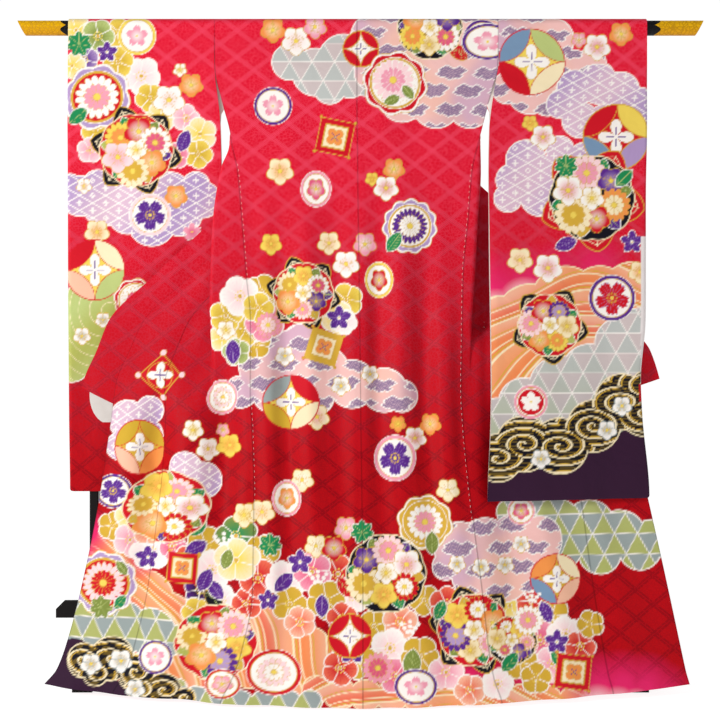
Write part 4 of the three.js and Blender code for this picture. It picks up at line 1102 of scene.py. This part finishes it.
# -- body, lower part: bands first, then clouds
zone(body, "waves", "72 552 22,98 560 26,124 578 26,146 596 26,166 618 26,184 646 26,190 676 26,206 696 20,"
     "110 596 24,132 620 26,150 646 22,240 640 24,262 628 24,286 636 24,308 648 22,326 664 20,250 664 24,"
     "280 668 22,306 680 20,40 720 6", line="cream")
zone(body, "flush", "440 676 12,470 680 14,500 682 14,530 682 14,556 682 12", line=None, soft=40)
zone(body, "waves", "340 694 16,366 696 16,392 696 16,418 698 15,444 698 15,470 698 15,496 698 15,"
     "522 698 14,548 700 14,574 700 14,600 702 13,626 702 13,646 704 12,316 690 14,420 900 6", line="cream")
zone(body, "flush", "600 688 24,624 690 26,646 688 22,664 690 14", line=None, soft=70)
zone(body, "glow", "598 706 14,618 706 12,636 706 10", line=None, soft=36)
zone(body, "flush", "64 640 10,90 532 16,84 548 14,142 560 12", line=None, soft=40)
zone(body, "tri", "196 700 14,216 702 14,240 704 14,264 704 14,288 704 14,310 702 12,176 690 12")
zone(body, "tri", "90 616 30,120 628 28,150 632 24,74 632 22,170 640 16")
zone(body, "tri", "530 512 18,556 522 24,590 526 26,620 534 24,640 548 22,560 548 22,600 552 22,530 540 18,"
     "508 512 12,650 540 20")
zone(body, "plum", "74 654 16,52 690 26,74 690 28,98 696 26,58 668 18,44 700 24,124 702 22", line=None)
zone(body, "swirls", "84 660 17,112 658 22,136 672 18,96 674 12,164 690 17,140 690 13,186 698 10",
     line="cream")
bouquet(body, "112 526 15 ochre,128 516 14 cream,130 540 17 pale,152 552 18 white,172 546 15 pink,"
        "148 530 15 peach,188 560 15 coral,200 590 16 purple,196 612 15 yellow,222 600 16 white,"
        "246 604 16 coral")
bouquet(body, "206 546 20 ochre,236 536 20 moss,262 552 18 ochre,212 570 20 white,258 578 20 coral,"
        "236 560 22 cream,286 580 20 white,338 574 20 coral,312 572 20 pink,290 604 18 gold,"
        "352 596 18 white,326 600 20 ochre,342 618 16 coral,374 626 16 gold,400 622 18 peach,"
        "424 600 16 ochre,446 604 18 coral,300 622 16 peach")
bouquet(body, "390 648 20 white,360 662 18 ochre,340 668 18 coral,396 676 18 pink,420 656 20 ochre,"
        "446 672 18 pale,510 606 18 cream,532 600 18 coral,552 616 19 ochre,540 640 20 pink,"
        "566 634 18 white,580 646 16 coral,520 662 18 ochre,552 664 18 pale,536 678 16 ochre,"
        "470 690 16 peach,498 684 16 white,590 624 14 ochre")
zone(body, "bark", "460 548 26,486 546 28,514 540 26,540 540 24,474 576 22,504 580 22,532 572 20,446 566 14")
zone(body, "lattice", "128 420 20,146 436 18,120 446 14,150 410 14,184 470 18,204 480 18,196 494 12,"
     "176 486 12")

# Each row: the motif, its middle and radius in the photograph's pixels, its colours and counts, and
# its options.
LEFT_MOTIFS = """
fan_leaf 79 44 13
bell 107 52 11
roundel 137 36 19 yellow white cherry pink
scalloped 97 97 34 lilac red white+pink
leaf 78 116 12 turn=0.9
medallion 136 150 36 6 black red seed=4
plum 169 100 16 white pale
plum 191 85 12 orange cream
plum 180 70 7 white yellow
leaf 184 141 12 purple vein=lilac turn=0.4
plum 176 196 12 orange cream
cherry 192 232 10 pink rose
roundel 150 215 21 pale white fringe purple
plum 97 232 13 cream orange
shippo 95 270 30 yellow lime+peach+red+cream
scalloped 135 300 22 red white white+rose
plum 82 336 9 white slate
plum 103 320 8 white slate
plum 84 186 8 white pale
"""
RIGHT_MOTIFS = """
shippo 532 62 33 yellow cream+red+blue+lime
shippo 616 137 33 red lilac+blue+red+yellow line=gold
plum 597 47 14 white rose
plum 621 34 12 orange cream
plum 579 40 8 pink white
plum 543 137 13 white rose
plum 530 123 8 yellow orange
medallion 592 198 42 5 red black seed=9
fan_leaf 566 166 12
leaf 624 178 12 green turn=0.8
plum 520 260 13 cream peach
plum 548 268 15 white rose
leaf 566 244 12 purple vein=lilac turn=1.2
bell 632 242 12
plum 640 272 12 cream orange
medallion 550 325 31 5 black red seed=12
roundel 612 298 23 purple white fringe red
roundel 531 402 17 pink red cherry white
plum 541 459 10 white slate line=slate
plum 607 430 10 white slate line=slate
plum 622 406 10 white slate line=slate
"""
BODY_MOTIFS = """
plum 273 30 13 orange cream
plum 296 41 15 white pale
plum 315 27 12 pink white
plum 280 171 14 cream orange
plum 394 169 11 orange cream
plum 372 179 7 yellow orange
plum 386 188 13 white rose
plum 271 244 11 yellow orange
plum 329 243 12 cream peach
plum 346 264 14 white pale
plum 365 244 12 pink white
plum 226 330 10 white yellow
plum 285 356 10 white slate
plum 341 386 10 white slate
plum 370 374 9 white slate
plum 317 417 13 cream pink
plum 415 438 12 white rose
plum 430 424 11 orange cream
plum 398 424 8 orange yellow
plum 448 490 12 cream white
plum 457 564 9 white slate
plum 481 567 9 white slate
plum 505 565 9 white slate
plum 521 544 9 white slate
plum 193 430 11 white yellow
plum 208 449 12 white pale
plum 230 445 12 yellow orange
plum 223 430 7 pink white
plum 244 515 13 cream yellow
plum 262 512 13 cream peach
plum 316 546 12 cream white
plum 346 528 12 pink white
plum 334 548 13 red white
plum 302 480 12 cream white
shippo 361 49 18 white red+red+red+red line=gold
leaf 458 52 12 red gold turn=-0.9
medallion 430 27 32 0 black black seed=21
scalloped 395 83 33 red white white+pale
kiku 393 80 21 pale+pink 18 line=white
leaf 408 92 9 moss turn=-0.7
leaf 392 100 9 moss turn=1.2
roundel 273 106 19 purple white cherry pink
roundel 482 39 19 purple white cherry pink
roundel 506 41 18 purple white cherry pink
lozenge 335 137 17 turn=0.2
roundel 316 189 18 pink white plum rose squash=0.85
scalloped 410 226 28 lilac white purple+white 22
leaf 394 242 12 green turn=0.6
roundel 379 280 18 yellow white plum red squash=0.78
medallion 303 293 30 6 black red seed=33
leaf 233 352 13 purple vein=lilac
bell 339 318 13
kiku 268 325 13 pink+pale 14
lozenge 324 347 16 gold orange turn=0.3
roundel 223 397 17 pink white kiku pale
shippo 291 402 27 yellow cream+ochre+slate+red
roundel 395 458 23 pink white fringe purple squash=0.92
roundel 287 498 18 pink white plum orange squash=0.8
scalloped 425 522 28 gold gold white+pink
leaf 432 543 12 moss
shippo 140 447 27 gold orange+peach+ochre+ochre line=red
roundel 113 491 17 purple white fringe purple
leaf 196 548 13 purple vein=lilac turn=1.1
leaf 192 500 11 black gold turn=-0.5
leaf 198 528 11 green turn=0.9
medallion 165 506 36 0 black red seed=44
bell 148 557 12
lozenge 182 568 15 turn=0.1
scalloped 103 583 33 lilac red pale+red 20
fan_leaf 101 607 12 moss
leaf 122 568 9 moss turn=-0.6
leaf 120 602 9 green turn=0.7
roundel 155 657 17 purple white cherry pink
leaf 190 628 13 green turn=0.9
leaf 214 600 13 black gold turn=-0.7
medallion 216 642 38 0 black red seed=52
sprig 224 548 16
leaf 284 582 13 purple vein=lilac turn=0.8
leaf 216 590 12 purple vein=lilac turn=-0.6
bell 268 600 11
leaf 205 580 13 purple vein=lilac turn=0.5
fan_leaf 270 545 12
leaf 227 559 11 moss turn=0.3
star_lozenge 160 375 15 turn=0.78
leaf 322 606 12 purple vein=lilac
sprig 318 586 16
roundel 274 672 23 red white kiku pale squash=1.2
roundel 222 684 15 red white plum pink squash=1.2
bell 300 562 13
bell 352 650 15
shippo 350 636 22 white red+red+red+red line=gold
kiku 378 668 16 pink+rose 16
leaf 412 664 16 moss turn=0.1
sprig 410 636 16
plum 91 664 11 white slate line=slate
plum 121 661 12 white slate line=slate
plum 135 689 10 white slate line=slate
fan_leaf 362 532 12
leaf 346 588 13 red turn=2.4
medallion 386 573 39 0 black black seed=61
medallion 474 630 36 6 black red seed=72
medallion 512 640 24 0 black black seed=75
roundel 416 687 18 purple white cherry pink squash=1.2
roundel 521 511 14 pink white plum rose
shippo 557 579 25 gold peach+blue+orange+cream
bell 557 642 13
sprig 532 604 14
leaf 546 612 12 purple vein=lilac turn=-0.4
leaf 560 660 12 green turn=-0.9
leaf 440 610 11 green turn=0.4
lozenge 574 672 17 turn=0.1
kiku 528 620 15 white+pink 16
leaf 510 662 12 green turn=0.7
"""

for cloth, table in ((left, LEFT_MOTIFS), (right, RIGHT_MOTIFS), (body, BODY_MOTIFS)):
    print_motifs(cloth, table)


def cuff_strip():
    """The pale inside of the right sleeve's cuff, which shows as a strip along its outer edge."""
    edge = 640.6
    strip = (right.px > edge) & (right.py > 236) & (right.py < 384)
    patch = (right.px > edge - 1.5) & (right.py >= 384) & (right.py < 402)
    right.colour[strip], right.ground[strip] = rgb(232, 226, 224), 0
    right.colour[patch], right.ground[patch] = rgb(196, 14, 30), 0


cuff_strip()
for cloth in (body, left, right):
    cloth.hand_out()


def linings():
    """The lining side: pale silk, with the outer colour turned in along the lower part."""
    for name, group in shells.items():
        for s in group:
            v = s.v[s.coarse][..., None]
            low = ramp(905, 975, v) * (not name.startswith("sleeve"))
            if s.colour is None:
                s.colour = np.broadcast_to(rgb(238, 228, 218), (*s.shape, 3))
                s.ground = np.zeros(s.shape)
            s.lining = np.array(mix(np.broadcast_to(rgb(240, 232, 224), (*v.shape[:2], 3)), GROUND_LOW, low))


linings()


SEAM_SHADE = 0.55


def shade_seams():
    """A darker line of painted shade where panels are sewn together."""
    for name, group in shells.items():
        if name.startswith(("back", "front", "okumi")):
            for s in group:
                colour = s.colour.reshape(*s.shape, 3)
                for edge in (0, -1):
                    colour[:, edge] *= SEAM_SHADE


shade_seams()

# ---- materials


class Nodes:
    """Short way to write a node material."""

    def __init__(self, name):
        self.material = bpy.data.materials.new(name)
        self.material.use_nodes = True
        self.tree = self.material.node_tree
        self.shader = self.tree.nodes["Principled BSDF"]

    def node(self, kind, inputs=(), **settings):
        node = self.tree.nodes.new(kind)
        for key, value in settings.items():
            setattr(node, key, value)
        for key, value in dict(inputs).items():
            self.put(node.inputs[key], value)
        return node

    def put(self, socket, value):
        if isinstance(value, bpy.types.NodeSocket):
            self.tree.links.new(value, socket)
        else:
            socket.default_value = value

    def math(self, operation, a, b=0.0):
        return self.node("ShaderNodeMath", {0: a, 1: b}, operation=operation).outputs[0]

    def times(self, a, b):
        return self.math("MULTIPLY", a, b)

    def blend(self, share, a, b, **settings):
        """Colour a where share is 0 and b where it is 1."""
        return self.node("ShaderNodeMix", {0: share, 6: a, 7: b}, data_type="RGBA", **settings).outputs[2]

    def noise(self, vector, scale, detail, distortion=0.0):
        inputs = {"Vector": vector, "Scale": scale, "Detail": detail, "Distortion": distortion}
        return self.node("ShaderNodeTexNoise", inputs).outputs["Fac"]

    def wave(self, vector, scale, direction, distortion=0.0):
        inputs = {"Vector": vector, "Scale": scale, "Distortion": distortion}
        return self.node("ShaderNodeTexWave", inputs, bands_direction=direction).outputs["Fac"]

    def cells(self, vector, scale):
        """Distance to the borders of irregular cells."""
        inputs = {"Vector": vector, "Scale": scale}
        return self.node("ShaderNodeTexVoronoi", inputs, feature="DISTANCE_TO_EDGE").outputs["Distance"]

    def bump(self, height, strength, distance, **under):
        inputs = {"Height": height, "Strength": strength, "Distance": distance, **under}
        return self.node("ShaderNodeBump", inputs).outputs[0]

    def place(self):
        return self.node("ShaderNodeTexCoord").outputs["Object"]

    def flat(self):
        """Place on the flat cloth, in metres."""
        return self.node("ShaderNodeUVMap", uv_map="flat").outputs["UV"]

    def set(self, **values):
        for key, value in values.items():
            self.put(self.shader.inputs[key.replace("_", " ")], value)


def silk_material():
    m = Nodes("printed_silk")
    colour = m.node("ShaderNodeAttribute", attribute_name="print").outputs["Color"]
    ground = m.node("ShaderNodeAttribute", attribute_name="ground").outputs["Fac"]
    uv = m.flat()
    place = m.node("ShaderNodeSeparateXYZ", {0: uv})
    u, v = place.outputs[0], place.outputs[1]
    # woven lozenges: pairs of thin slanting lines, as on figured satin
    su, sv = m.times(u, 12.6), m.times(v, 15.6)
    bands, broad = [], []
    for slanted in (m.math("ADD", su, sv), m.math("SUBTRACT", su, sv)):
        t = m.math("ABSOLUTE", m.math("SUBTRACT", m.math("FRACT", slanted), 0.5))
        wide = m.math("LESS_THAN", m.math("ABSOLUTE", m.math("SUBTRACT", t, 0.465)), 0.022)
        thin = m.math("LESS_THAN", m.math("ABSOLUTE", m.math("SUBTRACT", t, 0.405)), 0.012)
        bands.append(m.math("MAXIMUM", wide, thin))
        broad.append(m.math("LESS_THAN", m.math("ABSOLUTE", m.math("SUBTRACT", t, 0.435)), 0.04))
    figure = m.math("MAXIMUM", bands[0], bands[1])
    small = m.cells(uv, 150.0)
    flecks = m.math("LESS_THAN", small, 0.09)
    figure = m.math("MAXIMUM", figure, m.times(flecks, 0.45))
    figure = m.times(figure, ground)
    # Painted highlight and shade on the woven figure: its lines are tinted pink near the top and dark red
    # lower down, for how light catches the satin
    low = m.node("ShaderNodeMapRange", {0: v, 1: 0.3, 2: 1.0}).outputs[0]
    woven = m.blend(low, (1.0, 0.16, 0.28, 1), (0.16, 0.0, 0.01, 1))
    lit = m.blend(m.times(figure, 0.3), colour, woven)
    # painted shade: broad darker figure lines, only in the lower part
    leaves = m.noise(uv, 190.0, 1.0)
    dark = m.times(m.math("MAXIMUM", broad[0], broad[1]), m.math("GREATER_THAN", leaves, 0.44))
    dark = m.times(m.times(dark, ground), m.times(low, 0.34))
    lit = m.blend(dark, lit, (0.13, 0.0, 0.004, 1))
    weave = m.wave(uv, 420.0, "X", 1.5)
    weft = m.wave(uv, 500.0, "Y", 1.0)
    soft = m.noise(uv, 9.0, 3.0)
    threads = m.math("ADD", m.times(weave, 0.5), m.times(weft, 0.5))
    height = m.math("ADD", m.times(threads, 0.25), m.times(figure, 0.6))
    bump = m.bump(height, 0.25, 0.0004)
    rumple = m.noise(uv, 16.0, 2.5, 0.6)
    bump = m.bump(rumple, 0.5, 0.006, Normal=bump)
    tone = m.blend(m.times(soft, 0.12), lit, (0.5, 0.0, 0.02, 1), blend_type="MULTIPLY")
    rough = m.math("SUBTRACT", 0.58, m.times(figure, 0.12))
    m.set(Base_Color=tone, Roughness=rough, Normal=bump)
    m.set(Sheen_Weight=0.02)
    m.set(Sheen_Roughness=0.3)
    m.set(Specular_IOR_Level=0.07)
    return m.material


def lining_material():
    m = Nodes("lining_silk")
    uv = m.flat()
    noise = m.noise(uv, 30.0, 4.0)
    tone = m.blend(noise, (0.52, 0.46, 0.42, 1), (0.66, 0.61, 0.57, 1))
    weave = m.wave(uv, 420.0, "X")
    bump = m.bump(weave, 0.2, 0.0003)
    m.set(Base_Color=tone, Normal=bump)
    m.set(Roughness=0.6)
    m.set(Sheen_Weight=0.2)
    return m.material


def lacquer_material():
    m = Nodes("black_lacquer")
    where = m.place()
    noise = m.noise(where, 14.0, 5.0)
    fine = m.noise(where, 160.0, 2.0)
    tone = m.blend(noise, (0.004, 0.004, 0.005, 1), (0.012, 0.009, 0.008, 1))
    rough = m.math("ADD", 0.1, m.times(noise, 0.12))
    bump = m.bump(fine, 0.04, 0.0003)
    m.set(Base_Color=tone, Roughness=rough, Normal=bump)
    m.set(Specular_IOR_Level=0.06)
    m.set(Coat_Weight=0.06)
    m.set(Coat_Roughness=0.06)
    return m.material


def gilt_material():
    m = Nodes("engraved_gilt")
    where = m.place()
    height = m.node("ShaderNodeSeparateXYZ", {0: where}).outputs[2]
    scroll = m.cells(where, 120.0)
    cut = m.math("LESS_THAN", scroll, 0.1)
    # Painted highlight and shade: the gilt runs from dark brown at its lower edge to bright gold at its top,
    # for light falling from above
    share = m.node("ShaderNodeMapRange", {0: height, 1: 1.468, 2: 1.503}).outputs[0]
    gold = m.blend(share, (0.55, 0.24, 0.001, 1), (1.0, 0.56, 0.001, 1))
    tone = m.blend(m.times(cut, 0.5), gold, (0.34, 0.16, 0.005, 1))
    # black lacquer shows between two lobes at the inner end
    along = m.math("ABSOLUTE", m.node("ShaderNodeSeparateXYZ", {0: where}).outputs[0])
    lobe = m.math("ABSOLUTE", m.math("COSINE", m.times(m.math("SUBTRACT", height, 1.479), math.pi / 0.0206)))
    inner = m.math("LESS_THAN", along, m.math("ADD", 0.671, m.times(lobe, 0.013)))
    tone = m.blend(inner, tone, (0.006, 0.005, 0.006, 1))
    bump = m.bump(scroll, 0.5, 0.0012)
    rough = m.math("ADD", 0.28, m.times(cut, 0.3))
    m.set(Base_Color=tone, Roughness=rough, Normal=bump)
    m.set(Metallic=0.3)
    m.set(Specular_IOR_Level=0.2)
    return m.material


def thread_material():
    m = Nodes("basting_cotton")
    where = m.place()
    twist = m.wave(where, 700.0, "DIAGONAL", 1.0)
    tone = m.blend(twist, (0.62, 0.58, 0.55, 1), (0.86, 0.83, 0.8, 1))
    m.set(Base_Color=tone)
    m.set(Roughness=0.8)
    return m.material


SILK, LINING, THREAD_LOOK = silk_material(), lining_material(), thread_material()
LACQUER, GILT = lacquer_material(), gilt_material()

# ---- pieces

for name, group in shells.items():
    is_lining = name == "collar_lining"
    look, slot = (LINING, "lining") if is_lining else (SILK, "silk")
    piece = make(f"{name}_cloth", group, look, name)

STITCH, STITCH_GAP, THREAD = 5.0, 7.5, 0.34  # a stitch, the gap after it, half the thread's width
BASTED_COLUMN = -2  # the column of points beside the side seam
BASTED_FROM = 330  # drop where the thread starts


def basting(lines):
    """White basting thread: short running stitches that lie on the cloth beside a seam."""
    bm = bmesh.new()
    for points, normals in lines:
        length = np.concatenate([[0], np.cumsum(np.linalg.norm(np.diff(points, axis=0), axis=1))])

        def at(values, t):
            return np.array([np.interp(t, length, values[:, k]) for k in range(3)])

        for start in np.arange(STITCH_GAP, length[-1] - STITCH, STITCH + STITCH_GAP):
            heading = at(points, start + STITCH) - at(points, start)
            rings = []
            for share, size in ((0.0, 0.35), (0.15, 0.9), (0.5, 1.0), (0.85, 0.9), (1.0, 0.35)):
                normal = at(normals, start + share * STITCH)
                across = np.cross(heading, normal)
                across /= np.linalg.norm(across)
                middle = at(points, start + share * STITCH) + normal * 0.3
                ring = [middle + size * (a * across * THREAD + b * normal * THREAD)
                        for a, b in ((-1, -0.4), (0, 1), (1, -0.4))]
                rings.append([bm.verts.new(point / 1000) for point in ring])
            for one, two in zip(rings, rings[1:]):
                for k in range(3):
                    bm.faces.new((one[k], one[k - 1], two[k - 1], two[k]))
            bm.faces.new(rings[0])
            bm.faces.new(rings[-1][::-1])
    bmesh.ops.recalc_face_normals(bm, faces=bm.faces[:])
    mesh = bpy.data.meshes.new("basting_thread")
    bm.to_mesh(mesh)
    bm.free()
    mesh.materials.append(THREAD_LOOK)
    piece = bpy.data.objects.new("basting_thread", mesh)
    bpy.context.scene.collection.objects.link(piece)
    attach(piece, "root")


seams = []
for name in ("back_left", "back_right"):
    shell = shells[name][0]
    rows = np.flatnonzero(AXIS_HEIGHT - shell.outer[:, BASTED_COLUMN, 2] > BASTED_FROM - TOP_DROP)
    seams.append((shell.outer[rows, BASTED_COLUMN], shell.normal[rows, BASTED_COLUMN]))
basting(seams)

LOOKS = {
    "pole post_left post_right foot_left foot_right lower_rail": LACQUER, "gilt_end_left gilt_end_right": GILT,
}
for names, look in LOOKS.items():
    for name in names.split():
        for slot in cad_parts[name].material_slots:
            slot.material = look

# ---- floor and light

floor_mesh = bpy.data.meshes.new("floor")
floor_corners = [(x * 6, y * 6, -0.0005) for x, y in ((-1, -1), (1, -1), (1, 1), (-1, 1))]
floor_mesh.from_pydata(floor_corners, [], [(0, 1, 2, 3)])
floor = bpy.data.objects.new("floor", floor_mesh)
bpy.context.scene.collection.objects.link(floor)
floor_look = Nodes("floor")
floor_look.set(Base_Color=(0.4, 0.4, 0.4, 1))
floor_look.shader.inputs["Roughness"].default_value = 0.9
floor_look.shader.inputs["Emission Color"].default_value = (1, 1, 1, 1)
floor_look.shader.inputs["Emission Strength"].default_value = 0.86
floor_mesh.materials.append(floor_look.material)

world = bpy.data.worlds.new("studio")
world.use_nodes = True
sky = world.node_tree.nodes["Background"]
seen = world.node_tree.nodes.new("ShaderNodeLightPath").outputs["Is Camera Ray"]
level = world.node_tree.nodes.new("ShaderNodeMapRange")
level.inputs["To Min"].default_value = 0.36
level.inputs["To Max"].default_value = 1.02
world.node_tree.links.new(seen, level.inputs["Value"])
world.node_tree.links.new(level.outputs[0], sky.inputs[1])
sky.inputs[0].default_value = (1, 1, 1, 1)
bpy.context.scene.world = world
bpy.context.scene.view_settings.view_transform = "Standard"


def area(name, place, target, size, power):
    data = bpy.data.lights.new(name, "AREA")
    data.size = size
    data.energy = power
    light = bpy.data.objects.new(name, data)
    light.location = place
    aim = np.array(target) - np.array(place)
    tilt = math.acos(-aim[2] / np.linalg.norm(aim))
    light.rotation_euler = (tilt, 0, math.atan2(aim[1], aim[0]) - math.pi / 2)
    bpy.context.scene.collection.objects.link(light)


area("key", (-3.4, -2.6, 1.9), (0, 0, 0.8), 0.9, 120)
area("fill", (2.4, -2.6, 1.4), (0, 0, 0.7), 2.0, 10)
